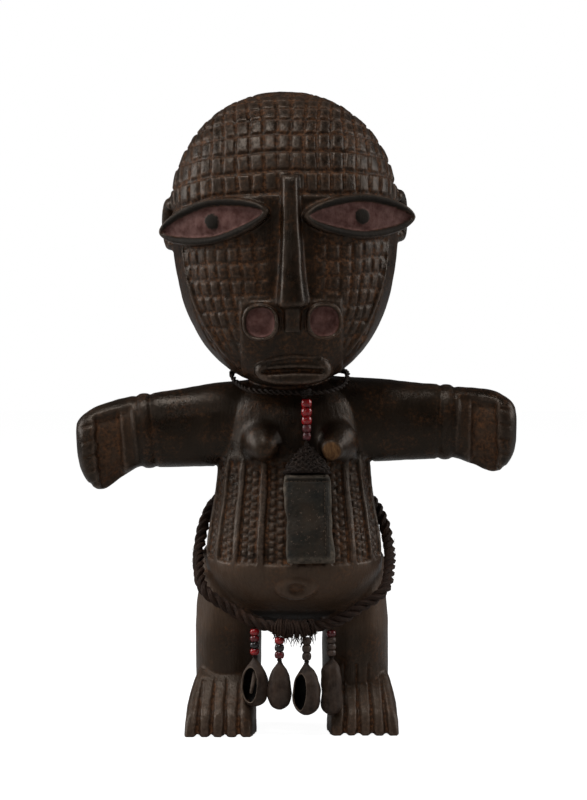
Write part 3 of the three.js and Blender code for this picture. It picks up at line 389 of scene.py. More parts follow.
def leg_parts(side):
    """A short straight leg, and a foot that rises from its toes to the ankle."""
    parts = []
    x = -1.8 + side * 28.2
    table = [(0.25, 0.96, 0.9), (0.55, 1.0, 0.98), (1.0, 1.0, 1.05), (1.45, 0.85, 0.95)]
    rings = []
    for share in np.linspace(0.25, 1.45, 24):
        wide, deep = hermite(table, share)
        across, y = rounded_box(64, 14.5 * wide, 18 * deep, 18 * deep, 2.3)
        rings.append(np.stack([x + across, y - 1, np.full(64, share * LEG)], -1))
    parts.append(skin(rings))
    foot = [
        (0.0, 0.94, 0.3),
        (0.07, 1.0, 0.41),
        (0.14, 1.01, 0.53),
        (0.24, 1.02, 0.73),
        (0.36, 1.02, 0.96),
        (0.46, 0.99, 1.06),
        (0.6, 0.95, 1.06),
        (0.85, 0.84, 1.06),
        (1.0, 0.64, 0.7),
    ]
    x = -1.8 + side * 32.2
    stagger = 5 if side > 0 else 0
    rings = []
    across = np.linspace(-1, 1, 81)
    for share in np.concatenate([np.linspace(0, 0.05, 8), np.linspace(0.06, 1, 50)]):
        wide, high = hermite(foot, share)
        tip = max(0.06, math.sqrt(1 - (1 - min(1, share / 0.08)) ** 2))
        up = high * FOOT_HIGH * tip * (1 - np.abs(across * 0.99) ** 8) ** 0.42
        middle = x - side * 4 * share
        narrower = 1 - 0.17 * np.clip(up / FOOT_HIGH - 0.45, 0, 1)
        y = share * FOOT - 37 + stagger
        row = np.stack([middle + across * FOOT_WIDE * wide * narrower, np.full(81, y), up], -1)
        row[0, 2] = row[-1, 2] = 0
        base = np.linspace(1, -1, 20)[:, None] * [FOOT_WIDE * wide, 0, 0] + [middle, y, 0]
        rings.append(np.concatenate([row, base]))
    parts.append(skin(rings))
    return parts


def joined(name, skins, place=0.0, scale=1.0):
    """One mesh of several skins, with its faces turned outwards."""
    verts = (np.concatenate([v for v, _ in skins]) + place) * scale
    faces, start = [], 0
    for v, f in skins:
        faces += [tuple(i + start for i in face) for face in f]
        start += len(v)
    mesh = bpy.data.meshes.new(name)
    mesh.from_pydata(verts.tolist(), [], faces)
    fixed = bmesh.new()
    fixed.from_mesh(mesh)
    bmesh.ops.recalc_face_normals(fixed, faces=fixed.faces)
    fixed.to_mesh(mesh)
    fixed.free()
    return mesh


def applied(piece):
    """A plain mesh of an object with its modifiers carried out. The object goes."""
    mesh = bpy.data.meshes.new_from_object(piece.evaluated_get(bpy.context.evaluated_depsgraph_get()))
    bpy.data.objects.remove(piece)
    return mesh


def fuse(parts, voxel):
    """One watertight mesh round all the parts, in millimetres."""
    rough = linked("rough", joined("rough", parts))
    remesh = rough.modifiers.new("remesh", "REMESH")
    remesh.mode = "VOXEL"
    remesh.voxel_size = voxel
    return applied(rough)


def read(items, name, width, kind=np.float32):
    """A property of all the points or edges of a mesh, as rows of numbers."""
    values = np.empty(len(items) * width, kind)
    items.foreach_get(name, values)
    return values.reshape(-1, width)


def paint(mesh, name, values):
    """Stores one number for each point of a mesh, for its material to read."""
    layer = mesh.attributes.new(name, "FLOAT", "POINT")
    layer.data.foreach_set("value", values.astype(np.float32))


def wobble(p, size, seed):
    """Smooth noise from -1 to 1, with features of about that size in millimetres."""
    rng = np.random.default_rng(seed)
    total = 0
    for _ in range(7):
        way = rng.normal(size=3)
        way *= 2 * np.pi / (size * rng.uniform(0.7, 1.5) * np.linalg.norm(way))
        total = total + np.sin(p @ way + rng.uniform(0, 6.28))
    return total / 3.2


def step(value, low, high):
    """Rises smoothly from 0 at the low value to 1 at the high one."""
    t = np.clip((value - low) / (high - low), 0, 1)
    return t * t * (3 - 2 * t)


def chance(i, j, seed):
    """A number from 0 to 1 that looks random, the same for the same row and column."""
    return np.modf(np.abs(np.sin(i * 12.9898 + j * 78.233 + seed) * 43758.5453))[0]


CAP_PITCH, CAP_ROW = 5.75, 6.3
CHEEK_PITCH, CHEEK_ROW = 5.9, 6.9
round_the_head = np.linspace(0, np.pi, 2000)
unit_x = power(np.sin(round_the_head), 2 / HEAD_SQUARENESS)
unit_y = power(np.cos(round_the_head), 2 / HEAD_SQUARENESS)
round_length = np.concatenate([[0], np.cumsum(np.hypot(np.diff(unit_x), 0.6 * np.diff(unit_y)))])


def carve_head(p):
    """Depth of the squares on the cap and cheeks, and where dust lies."""
    h = (p - HEAD_PLACE) @ rot("Y", HEAD_TILT)
    x, y, z = h.T
    half, front, back, middle = head_section(z)
    ahead = -(y - middle)
    ahead = ahead / np.where(ahead > 0, front, back)
    angle = np.arctan2(power(x / half, 1.2), power(ahead, 1.2))
    on = (z > 2) & (np.abs(x) < 70) & (np.abs(p[:, 0]) < 62)
    level = z - front * math.tan(math.radians(9)) * np.cos(angle) - 0.02 * half * np.sin(angle)
    share = np.clip((level / HEAD - WIDEST_OF_HEAD) / 0.44, -1, 1)
    degrees = np.degrees(np.arcsin(np.clip(power(share, 1.075), -1, 1)))
    steep = np.degrees(np.arcsin(np.clip(power((z / HEAD - WIDEST_OF_HEAD) / 0.44, 1.075), -1, 1)))
    swell = SWELL * np.clip((steep - 3) / 8, 0, 1)
    skin_point = on_head(angle, z, swell)
    off = np.hypot(x, y - middle) - np.hypot(skin_point[:, 0], skin_point[:, 1] - middle)
    bare = np.where(degrees > 30, 1.0, 1 - step(off, 0.35, 0.9))
    round_cap = np.sign(angle) * half * np.interp(np.abs(angle), round_the_head, round_length)
    u = (round_cap - 3.1) / CAP_PITCH + 0.07 * wobble(p, 24, 3)
    v = (degrees - 5) / 9.7 + 0.06 * wobble(p, 30, 4)
    column, row = np.floor(u), np.floor(v)
    to_seam = half * (round_length[-1] - np.interp(np.abs(angle), round_the_head, round_length))
    across = np.minimum((0.5 - np.abs(u - column - 0.5)) * CAP_PITCH, to_seam) + 0.18 * wobble(p, 5, 5)
    along = (0.5 - np.abs(v - row - 0.5)) * CAP_ROW + 0.15 * wobble(p, 6, 6)
    flat = step(np.minimum(across, along), 0.2, 1.0)
    lean = 0.4 * (v - row - 0.5) - 0.3 * (u - column - 0.5) + 0.24 * (chance(column, row, 1) - 0.5)
    shallow = 1 - 0.55 * step(degrees, 52, 68)
    cap = np.where(v > -0.1, -1.15 * (1 - flat) + flat * lean, 0) * bare * on * shallow
    dust = np.where(v > -0.12, 1 - step(np.minimum(across, along), 0.45, 1.35), 0) * bare * on
    s = angle * 46
    u = (s - FACE_MIDDLE) / CHEEK_PITCH + 0.09 * wobble(p, 20, 7)
    v = (z - 0.03 * x) / CHEEK_ROW + 0.08 * wobble(p, 22, 8)
    column, row = np.floor(u), np.floor(v)
    across = (0.5 - np.abs(u - column - 0.5)) * CHEEK_PITCH
    along = (0.5 - np.abs(v - row - 0.5)) * CHEEK_ROW
    flat = step(np.minimum(across, along), 0.25, 1.5)
    inside = step(z, 15, 17) * (1 - step(z, 66, 69)) * step(np.abs(s - FACE_MIDDLE), 7, 9)
    inside = inside * (1 - step(np.abs(s), 50, 52))
    inside *= np.where((z < 40) & (np.abs(x - 2.05) < 22.5), 0, 1) * bare * on * (ahead > 0)
    worn = 0.55 + 0.35 * chance(column, row, 2)
    cheeks = -0.85 * (1 - flat) * inside * worn + 0.3 * inside * flat * (chance(column, row, 3) - 0.4)
    dust = np.maximum(dust, (1 - step(np.minimum(across, along), 0.4, 1.6)) * inside)
    dust = np.maximum(dust, 0.3 * (1 - step(z, 66, 74)) * (ahead > 0.1) * bare * on * step(z, 2, 6))
    muzzle = (1 - step(np.abs(x - 2.05), 20.8, 22.6)) * (1 - step(z, 37, 39.5)) * step(z, 4, 8) * bare * on
    off = x - FACE_MIDDLE
    lips = (np.abs(off / 16.2) ** 2.3 + np.abs((z - 8.4 + 0.05 * np.abs(off)) / 6.6) ** 2.3) ** (1 / 2.3)
    lip_rim = step(lips, 0.72, 0.82) * (1 - step(lips, 1.0, 1.08))
    slit = (1 - step(np.abs(z - 8.0 + 0.004 * off**2), 0.5, 1.5)) * (1 - step(np.abs(off), 12, 14.5))
    mouth = (0.7 * lip_rim - 2.1 * slit) * (ahead > 0) * (np.abs(x) < 40)
    mouth = mouth * (z > -2) * (z < 18) * (p[:, 1] < -10)
    notes = (1 - step(np.abs(np.abs(x - 2.1) - 3.4), 0.3, 0.9)) * (z > 18) * (z < 34) * (ahead > 0)
    return cap + cheeks + 0.9 * muzzle * (ahead > 0) + mouth - 0.4 * notes * on * bare, dust


def carve_torso(p):
    """Bars and rows of notches round the body, between the belly and the arms."""
    x, y, z = p.T
    share = (z - LEG) / TORSO
    shape = hermite(TORSO_SHAPE, share)
    wide = np.maximum(shape[:, 0] * TORSO_WIDE, 1)
    ahead = -y / (TORSO_DEEP * np.maximum(np.where(y < 0, shape[:, 1], shape[:, 2]), 0.05))
    angle = np.arctan2(power((x - CHEST_PLACE) / wide, 1.125), power(ahead, 1.125))
    skin_point = torso_point(angle, z, np.full(len(p), SWELL))
    off = np.hypot(x - skin_point[:, 0], y - skin_point[:, 1])
    on = (1 - step(off, 0.6, 1.3)) * step(share - 0.022 * (1 - np.cos(angle)), 0.247, 0.262)
    on = on * (1 - step(share, 0.66, 0.68)) * (np.abs(x) < 45)
    pitch = math.radians(20)

    def away(centre):
        """How far each point lies from an upright line down the torso."""
        point = torso_point(centre, z, np.full(len(p), SWELL))
        return np.hypot(x - point[:, 0], y - point[:, 1])

    near = np.round(angle / pitch)
    bar_gap = away(near * pitch) + 0.2 * wobble(p, 9, 11)
    ridge = 1 - step(bar_gap, 1.25, 2.1)
    cell = np.floor(angle / pitch)
    low, high = torso_point(cell * pitch, z), torso_point((cell + 1) * pitch, z)
    panel = np.hypot(*(high - low)[:, :2].T)
    notches = 0
    for place, allowed in ((0.5, panel < 9.3), (0.36, panel >= 9.3), (0.64, panel >= 9.3)):
        gap = away((cell + place) * pitch)
        count = z / 3.5 + chance(cell, place * 10, 9) + 0.12 * wobble(p, 8, 12)
        beat = 1 - step(np.abs(count - np.floor(count) - 0.5), 0.26, 0.4)
        notches = np.maximum(notches, allowed * (1 - step(gap, 0.9, 1.6)) * beat)
    height = -1.7 + 1.7 * np.maximum(ridge, 0.42 * notches)
    return height * on, 0.6 * on * (1 - ridge) * (1 - 0.5 * notches)


def carve_hand(p, side, droop, drop, reach):
    """A sunken palm inside curled fingers."""
    a = (p - [0, 0.5, SHOULDER - 17.5]) @ rot("Y", side * droop)
    along = (side * a[:, 0] - 69.9) / HAND
    up = a[:, 2] + drop * np.clip(along, 0, 1)
    on = (along > 0.05) & (along < 1.2) & (a[:, 1] < 3) & (a[:, 2] < 24)
    wavy = 0.012 * wobble(p, 7, 21) + 0.004 * np.clip(up, -20, 20) * (side > 0) * 0.5
    palm = step(along, 0.24, 0.32) * (1 - step(along + wavy, 0.64, 0.7)) * (1 - step(up, 10.5, 13.5))
    heel = step(along, 0.04, 0.12) * (1 - step(along, 0.22, 0.3)) * (1 - step(np.abs(up), 10, 14))
    hatch = (1 - step(np.abs(np.modf(np.abs(up / 6.5 + 20))[0] - 0.5), 0.06, 0.16)) * step(along, 0.68, 0.74)
    hatch *= 1 - step(along, 0.84, 0.94)
    front = step(-a[:, 1], 1, 5)
    dirt = (palm * 0.9 + 0.3 * heel + 0.3 * hatch) * on * front
    return (-3.4 * palm - 1.2 * heel - 0.5 * hatch) * on * front, dirt


def carve_foot(p, side):
    """Grooves between five toes, from the instep down to the sole."""
    share = (p[:, 1] + 37 - (5 if side > 0 else 0)) / FOOT
    middle = -1.8 + side * 32.2 - side * 4 * np.clip(share, 0, 1)
    wide = np.where(share < 0.3, 1.0, 0.95) * FOOT_WIDE * (1 - 0.1 * p[:, 2] / FOOT_HIGH)
    across = (p[:, 0] - middle) / wide
    on = (np.abs(across) < 1.15) & (p[:, 2] < 30) & (share < 0.5)
    groove = 0
    for place in (-0.6, -0.2, 0.2, 0.6):
        gap = np.abs(across - place + 0.012 * wobble(p, 7, 31)) * FOOT_WIDE
        end = 0.345 - 0.04 * abs(place) + 0.02 * place * side
        near = np.clip(1 - share / end, 0, 1)
        cut_here = (1 - step(gap, 0.1, 0.35 + 1.35 * near**0.7)) * step(near, 0.0, 0.12)
        groove = np.maximum(groove, cut_here * (0.45 + 0.7 * near))
    return -1.75 * groove * on, np.minimum(groove, 1) * on


parts = head_parts() + body_parts()
hands = ((-1, 5, 6, 18.5), (1, 1.5, 3.8, 18))  # side, droop, drop of the fingers, their reach
for hand in hands:
    parts.append(arm_parts(*hand))
for side in (-1, 1):
    parts += leg_parts(side)
dense = fuse(parts, 0.6)
count = len(dense.vertices)
place = read(dense.vertices, "co", 3).astype(float)
edges = read(dense.edges, "vertices", 2, np.int32)
valence = np.bincount(edges.ravel(), minlength=count)[:, None]


def relaxed(points, rounds):
    """The points after each has moved to the mean of its neighbours, several times."""
    for _ in range(rounds):
        total = np.zeros_like(points)
        for k in range(3):
            total[:, k] = np.bincount(edges[:, 0], points[edges[:, 1], k], count)
            total[:, k] += np.bincount(edges[:, 1], points[edges[:, 0], k], count)
        points = 0.5 * points + 0.5 * total / valence
    return points


place = relaxed(place, 3)
softer = relaxed(place, 45)
for side in (-1, 1):
    from_breast = np.linalg.norm(place - [side * 15.5 + 1.6, -21.5, BREAST_Z], axis=1)
    blend = step(from_breast, 7.0, 9.0) * (1 - step(from_breast, 12.5, 15.5)) * (place[:, 1] < -8)
    place = place + blend[:, None] * (softer - place)
dense.vertices.foreach_set("co", place.ravel().astype(np.float32))
dense.update()
normal = read(dense.vertices, "normal", 3)
depth, dust = carve_head(place)
for carve, names in ((carve_torso, ((),)), (carve_hand, hands), (carve_foot, ((-1,), (1,)))):
    for extra in names:
        more, dirt = carve(place, *extra)
        depth = depth + more
        dust = np.maximum(dust, dirt)
depth += 0.16 * wobble(place, 17, 41) + 0.06 * wobble(place, 6, 42)
place = place + normal * depth[:, None]
place = relaxed(place, 1)
place[:, 2] = np.maximum(place[:, 2], 0)
hollow = ((relaxed(place, 14) - place) * normal).sum(1)
hollow = np.clip(hollow / 0.5, -1, 1)


def shield(centre, turn, outline, low, high):
    """Marks what lies inside an outline on the face, such as the sunk floor of an eye or disc."""
    local = (((place - HEAD_PLACE) @ rot("Y", HEAD_TILT)) - centre) @ turn
    x, z, q = outline
    ring = (np.abs(local[:, 0] / x) ** q + np.abs(local[:, 2] / z) ** q) ** (1 / q)
    return (1 - step(ring, low, high)) * (local[:, 1] < 4) * (local[:, 1] > -8)


pink = np.zeros(count)
pupil = np.zeros(count)
ink_and_painted_shade = np.zeros(count)
for side in (-1, 1):
    centre, turn = eye_place(side)
    pink = np.maximum(pink, shield(centre, turn, (24.9, 6.25, 1.45), 0.98, 1.04))
    lens = shield(centre, turn, (24.9, 6.25, 1.45), 1.04, 1.1)
    rim = shield(centre, turn, (27.4, 9.5, 1.74), 0.93, 0.99)
    centre = centre + turn @ np.array([PUPIL_SHIFT[side], 0, 0])
    pupil = np.maximum(pupil, shield(centre, turn, (PUPIL, PUPIL, 2), 1.0, 1.12))
    ink_and_painted_shade = np.maximum(ink_and_painted_shade, np.maximum(rim * (1 - lens), pupil))
    pink = np.maximum(pink, shield(*disc_place(side), (DISC, DISC, 2.4), 0.76, 0.82))
pink = pink * (1 - pupil)
broken = (place - [17.1, -21.5, BREAST_Z]) @ (rot("Z", -8) @ rot("X", 13))
bare = (1 - step(np.hypot(broken[:, 0], broken[:, 2]), 4.6, 5.2)) * step(-broken[:, 1], 9.6, 10.2)
bare = bare * (broken[:, 1] > -14)
belly = 1 - step(place[:, 2], 72, 79)
legs = (1 - step(place[:, 2], 40, 48)) * 0.6
palms = (np.abs(place[:, 0]) > 70) * dust
brown = np.clip(belly * 0.85 * (1 - legs) + 0.7 * palms + 0.25 * step(place[:, 2], 270, 282), 0, 1)
# Painted shade: the downward-facing crease between the belly and the rope is painted nearly black, in the
# same mask as the dark eye rims and pupils
under = step(-normal[:, 2], 0.75, 0.92) * (place[:, 2] > 40) * (place[:, 2] < 54) * (place[:, 1] < 12)
ink_and_painted_shade = np.maximum(ink_and_painted_shade, under * (np.abs(place[:, 0]) < 45))
masks = {"hollow": hollow, "dust": dust, "pink": pink, "bare": bare, "brown": brown, "ink_and_painted_shade": ink_and_painted_shade}
finish_place = (place + ORIGIN) * 0.001
dense.vertices.foreach_set("co", finish_place.ravel().astype(np.float32))
dense.update()
whole = linked("whole", dense)
thin = whole.modifiers.new("thin", "DECIMATE")
FIGURE_TRIANGLES = 196000
thin.ratio = FIGURE_TRIANGLES / (2 * len(dense.polygons))
figure_mesh = applied(whole)
tree = KDTree(count)
for i, spot in enumerate(finish_place):
    tree.insert(spot, i)
tree.balance()
nearest = np.array([tree.find(v.co)[1] for v in figure_mesh.vertices])
for name, values in masks.items():
    paint(figure_mesh, name, values[nearest])
figure = linked("carved_figure", figure_mesh)
figure_mesh.polygons.foreach_set("use_smooth", [True] * len(figure_mesh.polygons))


def new_material(name):
    """A material, its node tree, and its shader."""
    material = bpy.data.materials.new(name)
    material.use_nodes = True
    return material, material.node_tree, material.node_tree.nodes["Principled BSDF"]


def add(tree, kind, inputs=None, **settings):
    """A node with its settings made and its inputs set or joined up."""
    node = tree.nodes.new(kind)
    for key, value in settings.items():
        setattr(node, key, value)
    for key, value in (inputs or {}).items():
        if isinstance(value, bpy.types.NodeSocket):
            tree.links.new(value, node.inputs[key])
        else:
            node.inputs[key].default_value = value
    return node


def mix(tree, factor, a, b):
    """Two colours mixed by a mask."""
    return add(tree, "ShaderNodeMix", {0: factor, 6: a, 7: b}, data_type="RGBA").outputs[2]


def maths(tree, operation, a, b=0.0, clamp=False):
    """One sum of two values in a node tree."""
    return add(tree, "ShaderNodeMath", {0: a, 1: b}, operation=operation, use_clamp=clamp).outputs[0]


def ranged(tree, value, low, high, to_low=0.0, to_high=1.0):
    """A value carried from one range to another, and held inside it."""
    names = {"Value": value, "From Min": low, "From Max": high, "To Min": to_low, "To Max": to_high}
    return add(tree, "ShaderNodeMapRange", names, clamp=True).outputs[0]


def dress(tree, shader, base, rough, normals):
    """Joins a worked-out colour, roughness and normal to the shader."""
    for socket, value in (("Base Color", base), ("Roughness", rough), ("Normal", normals)):
        tree.links.new(value, shader.inputs[socket])


def shared(name, inputs, outputs):
    """An empty shader node group with these sockets, and its two ends."""
    group = bpy.data.node_groups.new(name, "ShaderNodeTree")
    for socket, kind, start in inputs:
        made = group.interface.new_socket(socket, in_out="INPUT", socket_type=f"NodeSocket{kind}")
        if start is not None:
            made.default_value = start
    for socket, kind in outputs:
        group.interface.new_socket(socket, in_out="OUTPUT", socket_type=f"NodeSocket{kind}")
    return group, group.nodes.new("NodeGroupInput").outputs, group.nodes.new("NodeGroupOutput").inputs


def use(tree, group, **inputs):
    """A shared group placed in a material with its own values."""
    node = add(tree, "ShaderNodeGroup", node_tree=group)
    for key, value in inputs.items():
        socket = node.inputs[key.replace("_", " ")]
        if isinstance(value, bpy.types.NodeSocket):
            tree.links.new(value, socket)
        else:
            socket.default_value = value
    return node.outputs


# Patches of wear: a mask that comes and goes over the surface.
patches, given, result = shared(
    "patches",
    [("Place", "Vector", None), ("Scale", "Float", 100.0), ("Low", "Float", 0.4), ("High", "Float", 0.6)],
    [("Mask", "Float")],
)
clouds = add(patches, "ShaderNodeTexNoise", {"Vector": given["Place"], "Scale": given["Scale"]})
clouds.inputs["Detail"].default_value = 5
clouds.inputs["Roughness"].default_value = 0.62
patches.links.new(ranged(patches, clouds.outputs["Fac"], given["Low"], given["High"]), result["Mask"])

# Two tones of one stuff, mottled together.
tones, given, result = shared(
    "two_tones",
    [
        ("Place", "Vector", None),
        ("Scale", "Float", 100.0),
        ("Dark", "Color", (0, 0, 0, 1)),
        ("Light", "Color", (1, 1, 1, 1)),
    ],
    [("Color", "Color")],
)
mask = use(tones, patches, Place=given["Place"], Scale=given["Scale"], Low=0.33, High=0.67)["Mask"]
tones.links.new(mix(tones, mask, given["Dark"], given["Light"]), result["Color"])

# Fine relief: small bumps at two sizes.
relief, given, result = shared(
    "fine_relief",
    [("Place", "Vector", None), ("Scale", "Float", 300.0), ("Strength", "Float", 0.4)],
    [("Normal", "Vector")],
)
coarse = add(relief, "ShaderNodeTexNoise", {"Vector": given["Place"], "Scale": given["Scale"]})
coarse.inputs["Detail"].default_value = 6
coarse.inputs["Roughness"].default_value = 0.65
bump = add(relief, "ShaderNodeBump", {"Strength": given["Strength"], "Distance": 0.0006})
relief.links.new(coarse.outputs["Fac"], bump.inputs["Height"])
relief.links.new(bump.outputs[0], result["Normal"])

wood, tree, shader = new_material("dark_wood")
spot = add(tree, "ShaderNodeTexCoord").outputs["Object"]
attribute = {n: add(tree, "ShaderNodeAttribute", attribute_name=n).outputs["Fac"] for n in masks}
grain_place = add(tree, "ShaderNodeMapping", {"Vector": spot, "Scale": (1, 1, 0.1)}).outputs[0]
grain = use(tree, patches, Place=grain_place, Scale=900.0, Low=0.3, High=0.7)["Mask"]
blotch = use(tree, patches, Place=spot, Scale=42.0, Low=0.36, High=0.66)["Mask"]
speck = use(tree, patches, Place=spot, Scale=700.0, Low=0.42, High=0.62)["Mask"]
base = mix(tree, blotch, (0.006, 0.0038, 0.0023, 1), (0.025, 0.0148, 0.0085, 1))
base = mix(tree, attribute["brown"], base, (0.11, 0.067, 0.043, 1))
base = mix(tree, maths(tree, "MULTIPLY", grain, 0.3), base, (0.013, 0.008, 0.005, 1))
edge = ranged(tree, attribute["hollow"], -0.12, -0.8)
edge = maths(tree, "MULTIPLY", edge, ranged(tree, speck, 0.0, 1.0, 0.45, 1.0))
base = mix(tree, maths(tree, "MULTIPLY", edge, 0.52), base, (0.2, 0.14, 0.105, 1))
pit = maths(tree, "MULTIPLY", attribute["dust"], 0.85)
pit = maths(tree, "MAXIMUM", ranged(tree, attribute["hollow"], 0.12, 0.7), pit)
pit = maths(tree, "MULTIPLY", pit, use(tree, patches, Place=spot, Scale=230.0, Low=0.34, High=0.6)["Mask"])
dusty = mix(tree, speck, (0.03, 0.011, 0.004, 1), (0.19, 0.076, 0.029, 1))
base = mix(tree, maths(tree, "MULTIPLY", pit, 0.8), base, dusty)
film = use(tree, patches, Place=spot, Scale=95.0, Low=0.46, High=0.72)["Mask"]
film = maths(tree, "MULTIPLY", film, ranged(tree, speck, 0.0, 1.0, 0.15, 0.5))
base = mix(tree, film, base, dusty)
pigment = use(tree, tones, Place=spot, Scale=260.0, Dark=(0.078, 0.026, 0.022, 1), Light=(0.2, 0.1, 0.088, 1))
base = mix(tree, maths(tree, "MULTIPLY", attribute["pink"], 0.94), base, pigment["Color"])
tan_tones = {"Dark": (0.09, 0.036, 0.013, 1), "Light": (0.27, 0.14, 0.058, 1)}
tan = use(tree, tones, Place=grain_place, Scale=1500.0, **tan_tones)
base = mix(tree, attribute["bare"], base, tan["Color"])
# Nearly black: the ink on the eye rims and pupils, and painted shade in the crease under the belly
base = mix(tree, maths(tree, "MULTIPLY", attribute["ink_and_painted_shade"], 0.9), base, (0.006, 0.006, 0.0055, 1))
dull = maths(tree, "MAXIMUM", maths(tree, "MAXIMUM", pit, attribute["pink"]), attribute["bare"])
dull = maths(tree, "MAXIMUM", dull, attribute["ink_and_painted_shade"])
rough = ranged(tree, blotch, 0.0, 1.0, 0.22, 0.38)
rough = maths(tree, "ADD", rough, maths(tree, "MULTIPLY", attribute["brown"], 0.12))
rough = maths(tree, "ADD", rough, maths(tree, "MULTIPLY", dull, 0.4), clamp=True)
normals = use(tree, relief, Place=spot, Scale=170.0, Strength=0.5)["Normal"]
fine = add(tree, "ShaderNodeBump", {"Strength": 0.3, "Distance": 0.0003, "Height": grain, "Normal": normals})
dress(tree, shader, base, rough, fine.outputs[0])
shader.inputs["Specular IOR Level"].default_value = 0.32
shader.inputs["Specular Tint"].default_value = (1.0, 0.84, 0.7, 1)
figure_mesh.materials.append(wood)
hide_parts("figure")
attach(figure, "root")

# Hip rope
# A rope of three bundles of dark plant fibre laid together, about 5 mm thick. It is tied round the hips, and
# its two ends meet below the belly under a frayed lashing of the same fibre.
ROPE_DIAMETER = 5.2
ROPE_ROUTE = [(2.65, -32.69, 47.04), (16.77, -29.59, 49.71), (27.64, -26.91, 55.7), (38.4, -23.64, 62.98)]
ROPE_ROUTE += [(41.42, -11.96, 72.4), (41.25, 1.23, 81.17), (38.7, 8.25, 91.87), (33.15, 15.24, 100.43)]
ROPE_ROUTE += [(20.76, 22.34, 104.71), (-0.8, 26.21, 106.31), (-22.36, 22.34, 104.71)]
ROPE_ROUTE += [(-34.75, 15.24, 100.43), (-40.3, 8.25, 91.87), (-42.85, 1.23, 81.17), (-43.01, -11.96, 72.4)]
ROPE_ROUTE += [(-39.99, -23.64, 62.98), (-29.24, -26.91, 55.7), (-18.37, -29.59, 49.71)]
ROPE_ROUTE += [(-4.25, -32.69, 47.04)]


def evenly(route, spacing):
    """Points along a smooth curve through the route, the same distance apart."""
    route = np.array(route, float)
    chord = np.concatenate([[0], np.cumsum(np.linalg.norm(np.diff(route, axis=0), axis=1))])
    fine = hermite(np.column_stack([chord, route]), np.linspace(0, chord[-1], 3000))
    travel = np.concatenate([[0], np.cumsum(np.linalg.norm(np.diff(fine, axis=0), axis=1))])
    stops = np.linspace(0, travel[-1], max(3, round(travel[-1] / spacing) + 1))
    return np.stack([np.interp(stops, travel, fine[:, k]) for k in range(3)], -1), stops


def squared(spots):
    """Two directions square to a curve at each of its points, that turn no more than the curve does."""
    tangent = np.gradient(spots, axis=0)
    tangent /= np.linalg.norm(tangent, axis=1, keepdims=True)
    across = np.cross(tangent[0], [0.31, 0.2, 0.93])
    sides = []
    for ahead in tangent:
        across = across - ahead * (across @ ahead)
        across /= np.linalg.norm(across)
        sides.append(across)
    sides = np.array(sides)
    return sides, np.cross(tangent, sides)


def tube(spots, radius, sides, ends=1.0):
    """A closed round tube along close points. It may thin towards its ends."""
    across, up = squared(spots)
    angle = np.linspace(0, 2 * np.pi, sides, endpoint=False)
    share = np.linspace(0, 1, len(spots))
    thin = radius * (1 - (1 - ends) * np.clip(share - 0.3, 0, 1) / 0.7)
    ring = across[:, None] * np.cos(angle)[None, :, None] + up[:, None] * np.sin(angle)[None, :, None]
    return skin(spots[:, None] + ring * thin[:, None, None])


def laid(spots, travel, diameter, plies, pitch, strands, sides, seed):
    """The bundles of a laid rope as closed skins, and each point's place along and round its bundle."""
    across, up = squared(spots)
    rng = np.random.default_rng(seed)
    reach = diameter / 2
    thick = reach * (0.525 if plies == 3 else 0.54)
    skins, lays = [], []
    angle = np.linspace(0, 2 * np.pi, sides, endpoint=False)
    for k in range(plies):
        drift = sum(np.sin(travel / rng.uniform(2.2, 9) + rng.uniform(0, 6.28)) for _ in range(4)) / 4
        turn = 2 * np.pi * (k / plies + travel / pitch) + 0.25 * drift
        middle = spots + (reach - thick) * (across * np.cos(turn)[:, None] + up * np.sin(turn)[:, None])
        ridge = np.cos(strands * (angle[None] - 0.45 * turn[:, None]))
        radius = thick * (1 + 0.1 * ridge + 0.07 * drift[:, None])
        way = across[:, None] * np.cos(angle)[None, :, None] + up[:, None] * np.sin(angle)[None, :, None]
        verts, faces = skin(middle[:, None] + way * radius[..., None])
        lay = np.stack(np.broadcast_arrays(travel[:, None], angle[None] - 0.45 * turn[:, None], 7.0 * k), -1)
        skins.append((verts, faces))
        lays.append(np.concatenate([lay.reshape(-1, 3), lay[0, :1], lay[-1, :1]]))
    return skins, np.concatenate(lays)


def solid(name, skins, material, lay=None):
    """An object of closed skins laid out in millimetres, with its faces turned outwards."""
    mesh = joined(name, skins, ORIGIN, 0.001)
    if lay is not None:
        layer = mesh.attributes.new("lay", "FLOAT_VECTOR", "POINT")
        layer.data.foreach_set("vector", lay.astype(np.float32).ravel())
    mesh.polygons.foreach_set("use_smooth", [True] * len(mesh.polygons))
    mesh.materials.append(material)
    return linked(name, mesh)


def finished(piece, slot, *nodes):
    """Says what a piece rides on and which CAD nodes it stands for, and hides those. Its slot is not used."""
    if nodes:
        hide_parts(*nodes)
    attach(piece, "root")
    return piece


def fibrous(name, dark, light, rough, strength):
    """Twisted fibre: streaks run along each bundle, with paler broken hairs."""
    material, tree, shader = new_material(name)
    lay = add(tree, "ShaderNodeAttribute", attribute_name="lay").outputs["Vector"]
    streak = add(tree, "ShaderNodeMapping", {"Vector": lay, "Scale": (0.35, 2.2, 1.0)}).outputs[0]
    spot = add(tree, "ShaderNodeTexCoord").outputs["Object"]
    base = use(tree, tones, Place=streak, Scale=1.6, Dark=dark, Light=light)["Color"]
    worn = use(tree, patches, Place=spot, Scale=110.0, Low=0.5, High=0.7)["Mask"]
    pale = tuple(min(1, c * 1.7) for c in light[:3]) + (1,)
    base = mix(tree, maths(tree, "MULTIPLY", worn, 0.5), base, pale)
    rough = ranged(tree, worn, 0.0, 1.0, rough, min(1, rough + 0.2))
    dress(tree, shader, base, rough, use(tree, relief, Place=streak, Scale=2.4, Strength=strength)["Normal"])
    shader.inputs["Specular IOR Level"].default_value = 0.25
    return material


